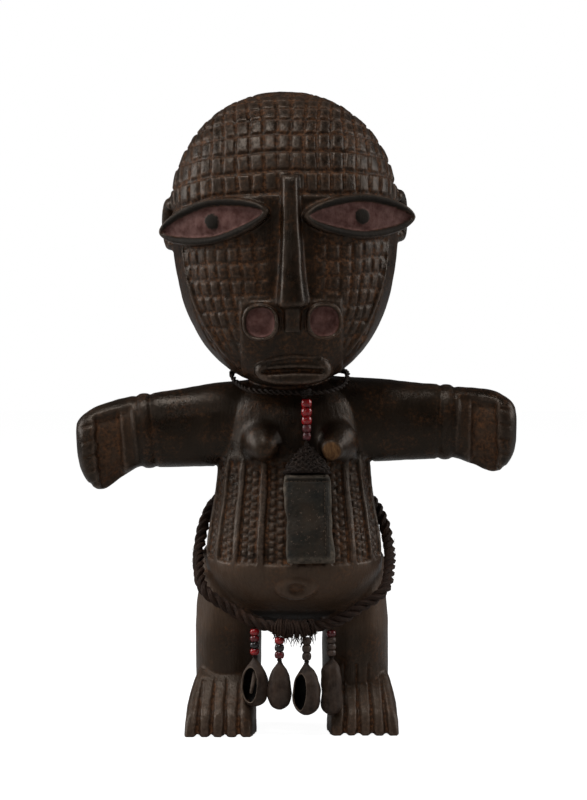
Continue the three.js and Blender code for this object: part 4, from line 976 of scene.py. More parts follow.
plant_fibre = fibrous("plant_fibre", (0.011, 0.006, 0.004, 1), (0.056, 0.027, 0.0155, 1), 0.62, 0.7)
spots, travel = evenly(ROPE_ROUTE, 0.42)
bundles, lay = laid(spots, travel, ROPE_DIAMETER, 3, 13.5, 5, 22, 61)
hip_rope = solid("hip_rope", bundles, plant_fibre, lay)
finished(hip_rope, "plant_fibre", "belt_rope")

# The lashing: three layers of thin strand wound round both rope ends, with loose ends that hang down
rng = np.random.default_rng(62)
ends = [ROPE_ROUTE[-2], ROPE_ROUTE[-1], (-0.8, -32.9, 46.9), ROPE_ROUTE[0], ROPE_ROUTE[1]]
core, core_travel = evenly(ends, 0.1)
core_side, core_up = squared(core)


def along_core(rows, at):
    """Points or directions read at distances along the two rope ends."""
    return np.stack([np.interp(at, core_travel, rows[:, k]) for k in range(3)], -1)


strands = []
windings = [(9.0, 27.5, 15, 3.05, 0), (11.0, 25.0, 9, 3.35, 2.1), (12.5, 22.0, 5, 3.6, 4)]
for start, stop, turns, reach, lean in windings:
    share = np.linspace(0, 1, 420)
    at = start + (stop - start) * share + 0.6 * np.sin(share * 23 + lean) + 0.35 * np.sin(share * 61 + lean)
    angle = share * turns * 2 * np.pi + lean + 0.4 * np.sin(share * 31)
    reach = reach + 0.18 * np.sin(share * 47 + lean)
    line, side, up = (along_core(rows, at) for rows in (core, core_side, core_up))
    line += side * (reach * np.cos(angle))[:, None] + up * (reach * np.sin(angle))[:, None]
    strands.append(tube(line, 0.46, 8))
strands.append(tube(core[(core_travel > 12) & (core_travel < 24)][::4], 2.3, 16))
for k in range(30):
    at = rng.uniform(8, 28)
    start = along_core(core, at)
    start += (0, rng.uniform(-2.6, 2.2), -2.6)
    drop = rng.uniform(2.2, 6.0)
    bend = rng.uniform(-2.4, 2.4, 3) * (1, 1, 0.2)
    route = [start + (0, 0, 1.2), start - (0, 0, drop * 0.2), start + bend * 0.6 - (0, 0, drop * 0.6)]
    route.append(start + bend - (0, 0, drop))
    strands.append(tube(evenly(route, 0.35)[0], rng.uniform(0.2, 0.38), 6, 0.25))
lay = []
for k, (verts, _) in enumerate(strands):
    lay.append(np.stack([verts[:, 0] * 2, verts[:, 2] * 1.5, np.full(len(verts), 5.0 * k)], -1))
lay = np.concatenate(lay)
lashing = finished(solid("rope_lashing", strands, plant_fibre, lay), "plant_fibre")


def grow(name, base, instance, turn, size, finish, seed, density=None):
    """A Geometry Nodes tree that sets one shape on a mesh, made into a plain mesh.

    instance, turn and size are functions of the tree, which give the shape and its rotation and scale.
    Without a density, one stands on each of the mesh's own points.
    """
    tree = bpy.data.node_groups.new(name, "GeometryNodeTree")
    tree.interface.new_socket("Base", in_out="INPUT", socket_type="NodeSocketGeometry")
    sockets = []
    wanted = [("Density", "Float", density or 0.0), ("Seed", "Int", seed), ("Finish", "Material", finish)]
    for label, kind, value in wanted:
        socket = tree.interface.new_socket(label, in_out="INPUT", socket_type=f"NodeSocket{kind}")
        sockets.append((socket, value))
    tree.interface.new_socket("Result", in_out="OUTPUT", socket_type="NodeSocketGeometry")
    given = tree.nodes.new("NodeGroupInput").outputs
    points, facing = given["Base"], None
    if density:
        scatter = add(tree, "GeometryNodeDistributePointsOnFaces", {"Mesh": points, "Seed": given["Seed"]})
        tree.links.new(given["Density"], scatter.inputs["Density"])
        points, facing = scatter.outputs["Points"], scatter.outputs["Rotation"]
    places = add(tree, "GeometryNodeInstanceOnPoints", {"Points": points, "Instance": instance(tree)})
    tree.links.new(turn(tree, facing, given["Seed"]), places.inputs["Rotation"])
    tree.links.new(size(tree, given["Seed"]), places.inputs["Scale"])
    real = add(tree, "GeometryNodeRealizeInstances", {"Geometry": places.outputs[0]})
    smooth = add(tree, "GeometryNodeSetShadeSmooth", {"Geometry": real.outputs[0]})
    look = {"Geometry": smooth.outputs[0], "Material": given["Finish"]}
    dressed = add(tree, "GeometryNodeSetMaterial", look)
    tree.links.new(dressed.outputs[0], tree.nodes.new("NodeGroupOutput").inputs["Result"])
    holder = linked(name, base)
    modifier = holder.modifiers.new(name, "NODES")
    modifier.node_group = tree
    for socket, value in sockets:
        modifier[socket.identifier] = value
    return linked(name, applied(holder))


def swept(tree, line, profile):
    """A profile swept along a curve."""
    ends = {"Curve": line.outputs[0], "Profile Curve": profile.outputs[0]}
    return add(tree, "GeometryNodeCurveToMesh", ends)


def hair(tree):
    """A bent fibre that thins to its tip, 3 mm long and a seventh of a millimetre thick."""
    bend = add(tree, "GeometryNodeCurveQuadraticBezier", {"Resolution": 4, "Start": (0, 0, -0.0004)})
    bend.inputs["Middle"].default_value = (0.0, 0.0, 0.0016)
    bend.inputs["End"].default_value = (0.0016, 0.0004, 0.0024)
    along = add(tree, "GeometryNodeSplineParameter").outputs["Factor"]
    thin = add(tree, "ShaderNodeMapRange", {"Value": along, "To Min": 1.0, "To Max": 0.25}).outputs[0]
    tapered = add(tree, "GeometryNodeSetCurveRadius", {"Curve": bend.outputs[0], "Radius": thin})
    round_ = add(tree, "GeometryNodeCurvePrimitiveCircle", {"Resolution": 3, "Radius": 0.00007})
    strand = swept(tree, tapered, round_)
    tree.links.new(thin, strand.inputs["Scale"])
    strand.inputs["Fill Caps"].default_value = True
    return strand.outputs[0]


def tousled(tree, facing, seed):
    """Out from the surface, leaning and turning at random."""
    lean = add(tree, "FunctionNodeRandomValue", data_type="FLOAT_VECTOR")
    lean.inputs["Min"].default_value = (-1.1, -1.1, -3.1)
    lean.inputs["Max"].default_value = (1.1, 1.1, 3.1)
    tree.links.new(seed, lean.inputs["Seed"])
    turn = add(tree, "FunctionNodeEulerToRotation", {0: lean.outputs[0]})
    both = add(tree, "FunctionNodeRotateRotation", {0: facing, 1: turn.outputs[0]}, rotation_space="LOCAL")
    return both.outputs[0]


def mixed_sizes(low, high):
    """Sizes at random between the two."""

    def sizes(tree, seed):
        size = add(tree, "FunctionNodeRandomValue", data_type="FLOAT")
        size.inputs[2].default_value, size.inputs[3].default_value = low, high
        tree.links.new(seed, size.inputs["Seed"])
        spread = add(tree, "ShaderNodeCombineXYZ", {k: size.outputs[1] for k in range(3)})
        return spread.outputs[0]

    return sizes


fuzz_sizes = mixed_sizes(0.3, 1.0)
rope_fuzz = grow("rope_fuzz", hip_rope.data, hair, tousled, fuzz_sizes, plant_fibre, 63, 130000)
finished(rope_fuzz, "plant_fibre")
fuzz_sizes = mixed_sizes(0.4, 1.3)
lashing_fuzz = grow("lashing_fuzz", lashing.data, hair, tousled, fuzz_sizes, plant_fibre, 64, 330000)
finished(lashing_fuzz, "plant_fibre")

# Neck cord
# A thin cord of two dark strands, stiff with resin and handling, tied close round the neck under the chin.
CORD_DIAMETER = 2.4
CORD_ROUTE = [(3.4, -24.0, 149.5), (-18.57, -22.0, 150.5), (-25.03, -14.5, 152.9), (-28.43, -6.0, 157.5)]
CORD_ROUTE += [(-24.43, 6.0, 158.5), (-14.38, 20.58, 158.5), (-2.88, 23.85, 158.5), (8.62, 20.58, 158.5)]
CORD_ROUTE += [(18.67, 6.0, 158.5), (22.67, -6.0, 157.5), (21.27, -14.5, 152.9), (14.81, -22.0, 150.5)]
CORD_ROUTE += [(5.8, -24.0, 149.5)]
resined_cord = fibrous("resined_cord", (0.009, 0.0062, 0.005, 1), (0.04, 0.024, 0.016, 1), 0.5, 0.5)
spots, travel = evenly(CORD_ROUTE, 0.3)
bundles, lay = laid(spots, travel, CORD_DIAMETER, 2, 5.2, 4, 14, 71)
knot_line = []
for share in np.linspace(0, 1, 60):
    angle = share * 2 * np.pi * 2.4
    up = 149.5 + 2.2 * (share - 0.5) + 0.7 * np.sin(2 * angle)
    knot_line.append((4.6 + 1.5 * np.cos(angle), -24 - 1.3 * np.sin(angle), up))
knot, knot_lay = laid(*evenly(knot_line, 0.3), 1.7, 2, 4.5, 3, 12, 72)
neck_cord = solid("neck_cord_twist", bundles + knot, resined_cord, np.concatenate([lay, knot_lay]))
finished(neck_cord, "resined_cord", "neck_cord")

# Strings
# The amulet and the four seed shells each hang on a short two-strand string that runs down through the beads.
for node in ("amulet_string", "hanger_1_string", "hanger_2_string", "hanger_3_string", "hanger_4_string"):
    low, high = (np.array(c) * 1000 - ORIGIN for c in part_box(node))
    middle = (low + high) / 2
    top = np.array([middle[0], middle[1] if node != "amulet_string" else high[1] - 0.6, high[2]])
    foot = np.array([middle[0], middle[1] if node != "amulet_string" else low[1] + 0.6, low[2]])
    bow = np.array([0.12, 0.1, 0])
    spots, travel = evenly([top, (2 * top + foot) / 3 + bow, (top + 2 * foot) / 3 - bow, foot], 0.3)
    twist, lay = laid(spots, travel, 1.15, 2, 3.0, 3, 10, 81)
    ring = []
    for share in np.linspace(0, 1, 40):
        angle = share * 2 * np.pi * 1.5
        ring.append(foot + (0.75 * np.cos(angle), 0.75 * np.sin(angle), 0.9 * (share - 0.4)))
    knot, knot_lay = laid(*evenly(ring, 0.3), 0.9, 2, 3.0, 3, 10, 82)
    piece = solid(f"{node}_twist", twist + knot, resined_cord, np.concatenate([lay, knot_lay]))
    finished(piece, "resined_cord", node)

# Beads
# Small drawn glass beads, bright red, dark red and nearly black, and brown ones cut from seeds. They are
# strung above the amulet and above each shell, worn at their edges and no two quite alike.


def barrel(tree):
    """A bead a millimetre wide and high, with a hole."""
    ring = add(tree, "GeometryNodeCurvePrimitiveCircle", {"Resolution": 28, "Radius": 0.00031})
    wall = add(tree, "GeometryNodeCurvePrimitiveCircle", {"Resolution": 14, "Radius": 0.00019})
    tall = add(tree, "GeometryNodeTransform", {"Geometry": swept(tree, ring, wall).outputs[0]})
    tall.inputs["Scale"].default_value = (1, 1, 2.6)
    return tall.outputs[0]


def stored_turn(tree, facing, seed):
    """The turn that marks() stored with each point."""
    turn = add(tree, "GeometryNodeInputNamedAttribute", {"Name": "turn"}, data_type="FLOAT_VECTOR")
    return add(tree, "FunctionNodeEulerToRotation", {0: turn.outputs[0]}).outputs[0]


def stored_size(tree, seed):
    """The size that marks() stored with each point."""
    return add(tree, "GeometryNodeInputNamedAttribute", {"Name": "size"}, data_type="FLOAT_VECTOR").outputs[0]


def placed(name, marked, shape, finish):
    """One shape on each of some marked points, turned and sized as they say."""
    return grow(name, marked, shape, stored_turn, stored_size, finish, 0)


def marks(name, places, turns, sizes):
    """A mesh of loose points in metres, each with its turn and size."""
    mesh = bpy.data.meshes.new(name)
    mesh.from_pydata([tuple(p) for p in places], [], [])
    for label, values in (("turn", turns), ("size", sizes)):
        layer = mesh.attributes.new(label, "FLOAT_VECTOR", "POINT")
        layer.data.foreach_set("vector", np.array(values, np.float32).ravel())
    return mesh


def glassy(slot, dark, light, rough, coat):
    """Bead stuff with two mottled tones and grime in its pits."""
    material, tree, shader = new_material(slot)
    spot = add(tree, "ShaderNodeTexCoord").outputs["Object"]
    base = use(tree, tones, Place=spot, Scale=420.0, Dark=dark, Light=light)["Color"]
    grime = use(tree, patches, Place=spot, Scale=900.0, Low=0.56, High=0.7)["Mask"]
    base = mix(tree, maths(tree, "MULTIPLY", grime, 0.6), base, (0.03, 0.014, 0.009, 1))
    normals = use(tree, relief, Place=spot, Scale=330.0, Strength=0.35)["Normal"]
    dress(tree, shader, base, ranged(tree, grime, 0.0, 1.0, rough, 0.7), normals)
    shader.inputs["Coat Weight"].default_value = coat
    return material


def beaded(name, slot, nodes):
    """All the beads of one colour, in the places of their CAD nodes."""
    rng = np.random.default_rng(len(nodes) * 7 + len(slot))
    places, turns, sizes = [], [], []
    for node in nodes:
        low, high = (np.array(c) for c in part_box(node))
        size = high - low
        lean = math.atan2(size[1] - size[0], size[2]) if "neck" in node else 0
        places.append((low + high) / 2)
        turns.append((lean + rng.uniform(-0.06, 0.06), rng.uniform(-0.08, 0.08), rng.uniform(0, 6)))
        wide = size[0] * 1000 * rng.uniform(0.97, 1.03)
        tall = (size[2] - max(0, size[1] - size[0]) * 0.4) * 1000 * rng.uniform(0.96, 1.02) + 0.24
        sizes.append((wide, wide, tall))
    made = placed(name, marks(slot, places, turns, sizes), barrel, bead_stuff[slot])
    return finished(made, slot, *nodes)


# Dark and light colour, roughness, and how thick their gloss is
beads = {
    "red_glass": ((0.2, 0.005, 0.007, 1), (0.52, 0.015, 0.018, 1), 0.16, 0.5),
    "dark_red_glass": ((0.06, 0.006, 0.008, 1), (0.2, 0.014, 0.017, 1), 0.25, 0.4),
    "dark_glass": ((0.012, 0.009, 0.009, 1), (0.04, 0.028, 0.025, 1), 0.2, 0.4),
    "dull_pink_glass": ((0.04, 0.01, 0.012, 1), (0.2, 0.035, 0.04, 1), 0.35, 0.15),
    "brown_seed": ((0.03, 0.017, 0.011, 1), (0.105, 0.062, 0.042, 1), 0.5, 0.1),
}
strung = {
    "red_glass": ["hanger_1_bead_1", "hanger_1_bead_4", "hanger_2_bead_1"],
    "dark_red_glass": ["hanger_1_bead_2", "hanger_2_bead_3", "hanger_4_bead_1"],
    "dark_glass": ["hanger_1_bead_3", "hanger_2_bead_2"],
    "brown_seed": [f"hanger_3_bead_{k}" for k in (1, 2, 3)] + [f"hanger_4_bead_{k}" for k in (2, 3, 4)],
}
bead_stuff = {slot: glassy(slot, *look) for slot, look in beads.items()}
rope_beads = [beaded(f"{slot}_rope_beads", slot, nodes) for slot, nodes in strung.items()]
neck_red = beaded("red_glass_neck_beads", "red_glass", ["neck_bead_1", "neck_bead_2", "neck_bead_3"])
neck_pink = beaded("dull_pink_glass_neck_beads", "dull_pink_glass", ["neck_bead_4", "neck_bead_5"])

# Amulet cap
# A cone of dark cord, knotted into a close net over the mouth of the amulet and set hard with resin.
AMULET_TOP = np.array([4.8, -28.8, 127.0])
AMULET_LOW = np.array([5.2, -43.12, 75.0])
amulet_way = (AMULET_LOW - AMULET_TOP) / np.linalg.norm(AMULET_LOW - AMULET_TOP)
amulet_out = np.array([0.0, -1.0, 0.0]) - amulet_way * -amulet_way[1]
amulet_out /= np.linalg.norm(amulet_out)
amulet_side = np.cross(amulet_way, amulet_out)
if amulet_side[0] < 0:
    amulet_side = -amulet_side
CAP_HEIGHT = 13.0
PACKET_WIDTH, PACKET_DEPTH, PACKET_HEIGHT = 20.5, 6.5, 39.0
CAP_DEPTH = PACKET_DEPTH + 2.2


def amulet_ring(across, out, down, slip=0.0):
    """A ring of points round the amulet at a distance down its line."""
    spots = AMULET_TOP + amulet_way * np.asarray(down)[..., None]
    spots = spots + amulet_side * (np.asarray(across) + slip)[..., None]
    return spots + amulet_out * np.asarray(out)[..., None]


# Share of its height, then of its width and depth, and its squareness
CAP_SHAPE = [(0, 0.14, 0.3, 2), (0.12, 0.3, 0.52, 2), (0.4, 0.6, 0.84, 2.2), (0.75, 0.9, 1, 2.6)]
CAP_SHAPE += [(0.95, 1.0, 1, 3)]
sides, rows = 240, 110
rings = []
for share in np.linspace(0, 1, rows):
    wide, deep, square = hermite(CAP_SHAPE, share * 0.95)
    half_deep = CAP_DEPTH / 2 * deep
    across, out = rounded_box(sides, PACKET_WIDTH / 2 * wide, half_deep, half_deep, square)
    around = np.arctan2(out, across)
    spread = around / (2 * np.pi)
    lean_a = np.abs(np.sin(np.pi * (spread * 11 + share * 5.2)))
    lean_b = np.abs(np.sin(np.pi * (spread * 11 - share * 5.2)))
    cords = np.maximum(1 - step(lean_a, 0.12, 0.5), 1 - step(lean_b, 0.12, 0.5))
    knots = (1 - step(lean_a, 0.2, 0.55)) * (1 - step(lean_b, 0.2, 0.55))
    swell = -0.45 + 0.55 * cords + 0.55 * knots - 0.5 * step(share, 0.97, 1)
    size = 1 + swell / np.maximum(np.hypot(across, out), 2.0)
    rings.append(amulet_ring(across * size, out * size, np.full(sides, 0.4 + share * (CAP_HEIGHT - 0.6))))
cap_skin = skin(rings)
grit = 0.22 * wobble(cap_skin[0], 1.6, 91) + 0.15 * wobble(cap_skin[0], 0.9, 92)
heart = amulet_ring(0.0, 0.0, CAP_HEIGHT * 0.6)
away = cap_skin[0] - heart
cap_skin = (cap_skin[0] + away / np.linalg.norm(away, axis=1, keepdims=True) * grit[:, None], cap_skin[1])
lay = np.stack([cap_skin[0][:, 2] * 3, cap_skin[0][:, 0], cap_skin[0][:, 1]], -1)
cap = solid("amulet_net_cap", [cap_skin], resined_cord, lay)
finished(cap, "resined_cord", "amulet_cap")


def knob(tree):
    """A small knot, a millimetre across."""
    return add(tree, "GeometryNodeMeshIcoSphere", {"Radius": 0.0005, "Subdivisions": 2}).outputs[0]


rng = np.random.default_rng(93)
places, turns, sizes = [], [], []
for k in range(150):
    share = 0.06 + 0.93 * rng.random() ** 0.7
    wide, deep, square = hermite(CAP_SHAPE, share * 0.95)
    around = rng.uniform(0, 2 * np.pi)
    across = PACKET_WIDTH / 2 * wide * power(np.cos(around), 2 / square)
    out = CAP_DEPTH / 2 * deep * power(np.sin(around), 2 / square)
    places.append((amulet_ring(across, out, 0.4 + share * (CAP_HEIGHT - 1.0)) + ORIGIN) * 0.001)
    turns.append(rng.uniform(-3, 3, 3))
    sizes.append(np.array([1, rng.uniform(0.6, 1), rng.uniform(0.6, 1)]) * rng.uniform(0.75, 1.35))
cap_knots = placed("amulet_cap_knots", marks("knots", places, turns, sizes), knob, resined_cord)
finished(cap_knots, "resined_cord")
cap_fuzz = grow("amulet_cap_fuzz", cap.data, hair, tousled, mixed_sizes(0.25, 0.7), resined_cord, 94, 180000)
finished(cap_fuzz, "resined_cord")

# Amulet packet
# A flat pouch of thin leather, folded over and sewn across its mouth and down one edge. Long handling has
# worn its edges pale and pressed the leather onto what it holds.
sides, rows = 160, 150
rings = []
for share in np.linspace(0, 1, rows):
    down = CAP_HEIGHT + 0.3 + PACKET_HEIGHT * share
    wide = hermite([(0, 0.93), (0.04, 0.98), (0.25, 1.0), (0.6, 0.97), (0.9, 1.03), (1, 0.99)], share)[0]
    end = (1 - np.clip((share - 0.965) / 0.035, 0, 1) ** 2) ** 0.5
    end = end * (1 - np.clip((0.02 - share) / 0.02, 0, 1) ** 2) ** 0.5
    deep = hermite([(0, 0.72), (0.05, 0.92), (0.4, 1.0), (0.8, 0.97), (1, 0.86)], share)[0]
    half_deep = PACKET_DEPTH / 2 * (deep * (0.25 + 0.75 * end))
    across, out = rounded_box(sides, PACKET_WIDTH / 2 * wide - 0.5 * (1 - end), half_deep, half_deep, 4.6)
    front = out > 0
    u = across / (PACKET_WIDTH / 2)
    fold = np.exp(-(((u - 0.8 + 0.1 * (share - 0.5)) / 0.06) ** 2)) * 0.45
    groove = np.exp(-(((u - 0.68 + 0.1 * (share - 0.5)) / 0.05) ** 2)) * 0.3
    mouth = np.exp(-(((share - 0.055) / 0.014) ** 2)) * 0.5 - np.exp(-(((share - 0.085) / 0.01) ** 2)) * 0.35
    out = out + np.where(front, fold - groove + mouth * (np.abs(u) < 0.93), 0)
    rings.append(amulet_ring(across, out, np.full(sides, down), 1.6 * share - 0.2))
verts, faces = skin(rings)
dents = 0.4 * wobble(verts, 12, 95) + 0.17 * wobble(verts, 4.5, 96) + 0.06 * wobble(verts, 2, 97)
sway = 0.3 * wobble(verts, 9, 98)
verts = verts + amulet_out * dents[:, None] + amulet_side * sway[:, None]
from_top = verts - AMULET_TOP
packet_across, packet_down, packet_out = from_top @ amulet_side, from_top @ amulet_way, from_top @ amulet_out
leather, tree, shader = new_material("worn_leather")
spot = add(tree, "ShaderNodeTexCoord").outputs["Object"]
wear = add(tree, "ShaderNodeAttribute", attribute_name="wear").outputs["Fac"]
leather_tones = {"Dark": (0.009, 0.0085, 0.0065, 1), "Light": (0.034, 0.029, 0.021, 1)}
base = use(tree, tones, Place=spot, Scale=130.0, **leather_tones)["Color"]
brown = use(tree, patches, Place=spot, Scale=75.0, Low=0.42, High=0.64)["Mask"]
base = mix(tree, maths(tree, "MULTIPLY", brown, 0.6), base, (0.045, 0.026, 0.014, 1))
scuffs = use(tree, patches, Place=spot, Scale=420.0, Low=0.3, High=0.62)["Mask"]
base = mix(tree, maths(tree, "MULTIPLY", wear, scuffs), base, (0.15, 0.12, 0.09, 1))
crumbs = use(tree, patches, Place=spot, Scale=900.0, Low=0.6, High=0.68)["Mask"]
base = mix(tree, maths(tree, "MULTIPLY", crumbs, 0.6), base, (0.2, 0.14, 0.1, 1))
normals = use(tree, relief, Place=spot, Scale=420.0, Strength=0.5)["Normal"]
dress(tree, shader, base, ranged(tree, scuffs, 0.0, 1.0, 0.5, 0.72), normals)
shader.inputs["Specular IOR Level"].default_value = 0.22
packet = solid("amulet_leather_packet", [(verts, faces)], leather)
around = np.abs(packet_across - 0.4) / (PACKET_WIDTH / 2)
down = (packet_down - CAP_HEIGHT) / PACKET_HEIGHT
worn = np.maximum(step(around, 0.84, 1.0), np.maximum(step(down, 0.93, 1.0), 1 - step(down, 0.02, 0.07)))
paint(packet.data, "wear", worn)
finished(packet, "worn_leather", "amulet_packet")


def stitch(tree):
    """A short stitch of thread, a millimetre long, that dips into the leather at both ends."""
    bend = add(tree, "GeometryNodeCurveQuadraticBezier", {"Resolution": 6, "Start": (-0.0005, 0, -0.0003)})
    bend.inputs["Middle"].default_value = (0.0, 0.0, 0.0004)
    bend.inputs["End"].default_value = (0.0005, 0.0, -0.0003)
    thread = add(tree, "GeometryNodeCurvePrimitiveCircle", {"Resolution": 6, "Radius": 0.0002})
    strand = swept(tree, bend, thread)
    strand.inputs["Fill Caps"].default_value = True
    return strand.outputs[0]


def surface_out(across, down):
    """How far the packet's front stands out at a place on it."""
    away = (packet_across - across) ** 2 + (packet_down - down) ** 2
    return packet_out[np.argmin(away + np.where(packet_out > 0, 0, 100))]


def facing(along, out):
    """The turn that lays a stitch along one direction, with its back to the other."""
    side = np.cross(out, along)
    return tuple(Matrix((tuple(along), tuple(side), tuple(out))).transposed().to_euler())


sewing_thread = fibrous("sewing_thread", (0.03, 0.021, 0.014, 1), (0.11, 0.078, 0.055, 1), 0.7, 0.4)
places, turns, sizes = [], [], []
for across in np.linspace(-8.6, 8.6, 11):
    down = CAP_HEIGHT + 0.3 + PACKET_HEIGHT * 0.085
    places.append((amulet_ring(across, surface_out(across, down) + 0.1, down) + ORIGIN) * 0.001)
    turns.append(facing(amulet_side, amulet_out))
    sizes.append((1.25, 1, 1))
for down in np.linspace(CAP_HEIGHT + 6, CAP_HEIGHT + PACKET_HEIGHT - 2, 18):
    share = (down - CAP_HEIGHT) / PACKET_HEIGHT
    across = PACKET_WIDTH / 2 * (0.68 - 0.1 * (share - 0.5)) + 1.6 * share - 0.2
    places.append((amulet_ring(across, surface_out(across, down) + 0.08, down) + ORIGIN) * 0.001)
    turns.append(facing(amulet_way, amulet_out))
    sizes.append((1.25, 1, 1))
stitches = placed("amulet_stitches", marks("stitches", places, turns, sizes), stitch, sewing_thread)
finished(stitches, "resined_cord")

# Seed shells
# Four halves of hard seeds, hollowed to thin brown walls that clack together. Each is bored at its tip for
# its string. The first still holds a tongue of dried husk.
SHELL_WIDTH, SHELL_WALL = 11.6, 0.9
SHELL_FLATNESS = 0.86
shell_husk, tree, shader = new_material("seed_shell")
spot = add(tree, "ShaderNodeTexCoord").outputs["Object"]
rim = add(tree, "ShaderNodeAttribute", attribute_name="rim").outputs["Fac"]
long_way = add(tree, "ShaderNodeMapping", {"Vector": spot, "Scale": (1, 1, 0.25)}).outputs[0]
husk_tones = {"Dark": (0.022, 0.0135, 0.0095, 1), "Light": (0.075, 0.047, 0.033, 1)}
base = use(tree, tones, Place=long_way, Scale=330.0, **husk_tones)["Color"]
dust = use(tree, patches, Place=spot, Scale=190.0, Low=0.46, High=0.68)["Mask"]
base = mix(tree, maths(tree, "MULTIPLY", dust, 0.5), base, (0.12, 0.088, 0.07, 1))
# Painted shade: the inner walls of each shell are painted nearly black
inside = add(tree, "ShaderNodeAttribute", attribute_name="inside").outputs["Fac"]
base = mix(tree, maths(tree, "MULTIPLY", inside, 0.95), base, (0.0035, 0.0025, 0.002, 1))
# Painted highlight: the edge round each shell's mouth is painted pale
base = mix(tree, maths(tree, "MULTIPLY", rim, 0.8), base, (0.19, 0.14, 0.105, 1))
normals = use(tree, relief, Place=long_way, Scale=420.0, Strength=0.45)["Normal"]
dress(tree, shader, base, ranged(tree, dust, 0.0, 1.0, 0.5, 0.75), normals)
shader.inputs["Specular IOR Level"].default_value = 0.18

# Share of the height from the tip down, and of the width
TEARDROP = [(0, 0.14), (0.04, 0.2), (0.09, 0.34), (0.2, 0.62), (0.38, 0.9), (0.6, 1.0)]
TEARDROP += [(0.77, 0.93), (0.89, 0.75), (0.96, 0.5), (1, 0.2)]
BARREL = [(0, 0.14), (0.04, 0.26), (0.09, 0.56), (0.18, 0.84), (0.4, 0.98), (0.65, 1.0)]
BARREL += [(0.84, 0.9), (0.94, 0.66), (1, 0.16)]


def pod(shape, width, height, inset, top, yaw, seed):
    """The skin of a seed that tapers to its tip, set in by an inset."""
    rings = []
    angle = np.linspace(0, 2 * np.pi, 72, endpoint=False)
    for share in np.linspace(0.0, 1, 60):
        radius = hermite(shape, share)[0] * width / 2
        across = (radius - inset) * np.cos(angle)
        out = SHELL_FLATNESS * (radius - inset) * np.sin(angle)
        ring = np.stack([across, out, np.full(72, -share * height)], -1)
        ring[:, 2] = np.clip(ring[:, 2], -height + inset, -inset * 1.4)
        rings.append(ring)
    verts, faces = skin(rings)
    verts = verts + 0.25 * wobble(verts + seed * 40, 8, 101)[:, None] * [1, 1, 0]
    return turned(verts, rot("Z", yaw), top), faces


def cut(whole, tool):
    """One skin less another."""
    blank, knife = (linked("blank", joined("blank", [part])) for part in (whole, tool))
    less = blank.modifiers.new("cut", "BOOLEAN")
    less.operation = "DIFFERENCE"
    less.solver = "EXACT"
    less.object = knife
    left = applied(blank)
    bpy.data.objects.remove(knife)
    return np.array([v.co for v in left.vertices]), [tuple(p.vertices) for p in left.polygons]


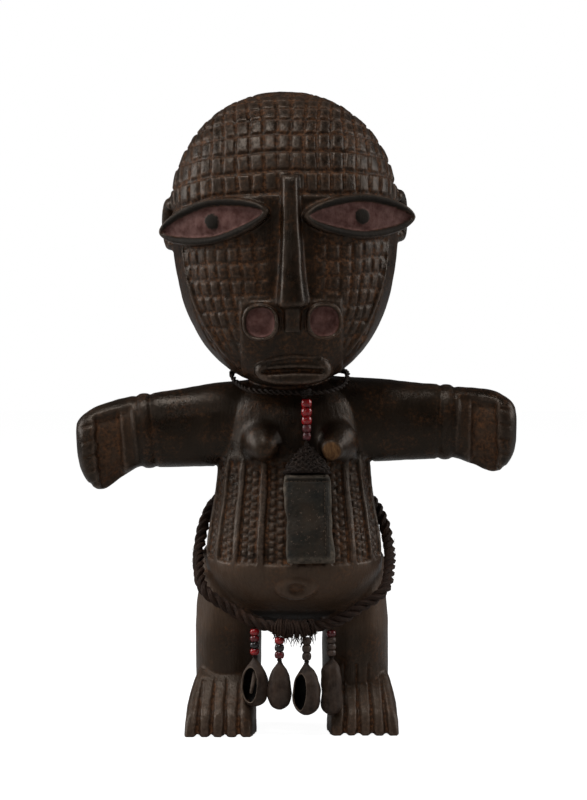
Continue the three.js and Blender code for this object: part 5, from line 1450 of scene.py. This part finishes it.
# Outline, width, turn, and half the width and height of the mouth as shares
kinds = [(TEARDROP, 1.1, -38, (0.36, 0.4)), (TEARDROP, 0.92, 172, (0.26, 0.34))]
kinds += [(TEARDROP, 1.17, -50, (0.36, 0.38)), (BARREL, 0.9, 118, (0.26, 0.36))]
for k, (shape, wide, yaw, mouth) in enumerate(kinds, 1):
    low, high = (np.array(c) * 1000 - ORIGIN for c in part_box(f"hanger_{k}_shell"))
    thread_low, thread_high = (np.array(c) * 1000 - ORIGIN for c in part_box(f"hanger_{k}_string"))
    thread = (thread_low + thread_high) / 2
    width, height = SHELL_WIDTH * wide, high[2] - low[2]
    top = np.array([thread[0], thread[1], high[2]])
    outer = pod(shape, width, height, 0, top, yaw, k)
    inner = pod(shape, width, height, SHELL_WALL, top, yaw, k)
    u, v = np.meshgrid(np.linspace(0, 2 * np.pi, 48, endpoint=False), np.linspace(-1.5, 1.5, 25))
    mouth_sizes = (width * mouth[0], width * 0.52, height * mouth[1])
    mouth_place = np.array([0, -width * 0.5, -height * 0.54])
    half_wide, half_deep, half_high = mouth_sizes
    ball = [half_wide * np.cos(u) * np.cos(v), half_deep * np.sin(u) * np.cos(v), half_high * np.sin(v)]
    verts, faces = skin(np.stack(ball, -1) + mouth_place)
    hole = (turned(verts, rot("Z", yaw), top), faces)
    walls = cut(cut(outer, hole), inner)
    pieces = [walls]
    if k == 1:
        reach = [(0.0, 1.2, -4.6), (0.5, -0.6, -8.2), (0.8, -2.6, -12.4), (0.4, -3.2, -15.6)]
        line = evenly([turned(np.array(p), rot("Z", yaw), top) for p in reach], 0.3)[0]
        verts, faces = tube(line, 1.25, 14, 0.55)
        pieces.append((verts, faces))
    fused = fuse(pieces, 0.24)
    spots = read(fused.vertices, "co", 3).astype(float)
    local = turned(spots - top, rot("Z", -yaw), (0, 0, 0))
    ring = np.sqrt((((local - mouth_place) / mouth_sizes) ** 2).sum(1))
    thick = hermite(shape, -local[:, 2] / height)[:, 0] * width / 2
    sunk = thick - np.hypot(local[:, 0], local[:, 1] / SHELL_FLATNESS)
    # Painted shade: the inner walls, away from the mouth, are marked to be painted nearly black
    inside = step(sunk, 0.4, 0.8) * step(ring, 1.02, 1.1)
    # Painted highlight: the edge round the mouth is marked to be painted pale
    edge = (1 - step(ring, 1.015, 1.07)) * (1 - 0.6 * step(sunk, 0.5, 0.9))
    spots = spots + 0.1 * wobble(spots, 3.2, 102)[:, None] * [0.7, 0.7, 0.3]
    fused.vertices.foreach_set("co", ((spots + ORIGIN) * 0.001).astype(np.float32).ravel())
    paint(fused, "rim", edge)
    paint(fused, "inside", inside)
    fused.polygons.foreach_set("use_smooth", [True] * len(fused.polygons))
    fused.materials.append(shell_husk)
    shell = linked(f"seed_shell_{k}", fused)
    finished(shell, "seed_shell", f"hanger_{k}_shell")

# Floor and light
# A pale floor that runs out into white. Broad soft lamps stand at both sides, above and in front, and the
# side lamps leave the middle of the face and body in shade.
floor_mesh = bpy.data.meshes.new("floor")
floor_mesh.from_pydata([(-3, -3, 0), (3, -3, 0), (3, 3, 0), (-3, 3, 0)], [], [(0, 1, 2, 3)])
floor = linked("floor", floor_mesh)
pale, tree, shader = new_material("pale_floor")
shader.inputs["Base Color"].default_value = (0.4, 0.4, 0.4, 1)
shader.inputs["Roughness"].default_value = 0.8
shader.inputs["Emission Color"].default_value = (1, 1, 1, 1)
# The camera sees them white, but they throw little light, so that the dark wood keeps its depth
seen = add(tree, "ShaderNodeLightPath").outputs["Is Camera Ray"]
tree.links.new(ranged(tree, seen, 0.0, 1.0, 0.05, 0.96), shader.inputs["Emission Strength"])
floor_mesh.materials.append(pale)
world = bpy.data.worlds.new("studio")
bpy.context.scene.world = world
world.use_nodes = True
tree = world.node_tree
tree.nodes["Background"].inputs["Color"].default_value = (1, 1, 1, 1)
seen = add(tree, "ShaderNodeLightPath").outputs["Is Camera Ray"]
tree.links.new(ranged(tree, seen, 0.0, 1.0, 0.05, 1.0), tree.nodes["Background"].inputs["Strength"])
bpy.context.scene.view_settings.view_transform = "Standard"
for name, place, size, energy in (
    ("left", (-1.15, 0.1, 0.6), 0.8, 8),
    ("right", (1.15, 0.1, 0.6), 0.8, 6.5),
    ("above", (-0.25, -0.45, 1.4), 0.5, 7.5),
    ("front", (-0.6, -1.4, 0.9), 0.5, 1.1),
):
    lamp_data = bpy.data.lights.new(name, "AREA")
    lamp_data.size = size
    lamp_data.energy = energy
    lamp = linked(name, lamp_data)
    lamp.location = place
    lamp.rotation_euler = (Vector((0, 0, 0.14)) - Vector(place)).to_track_quat("-Z", "Y").to_euler()
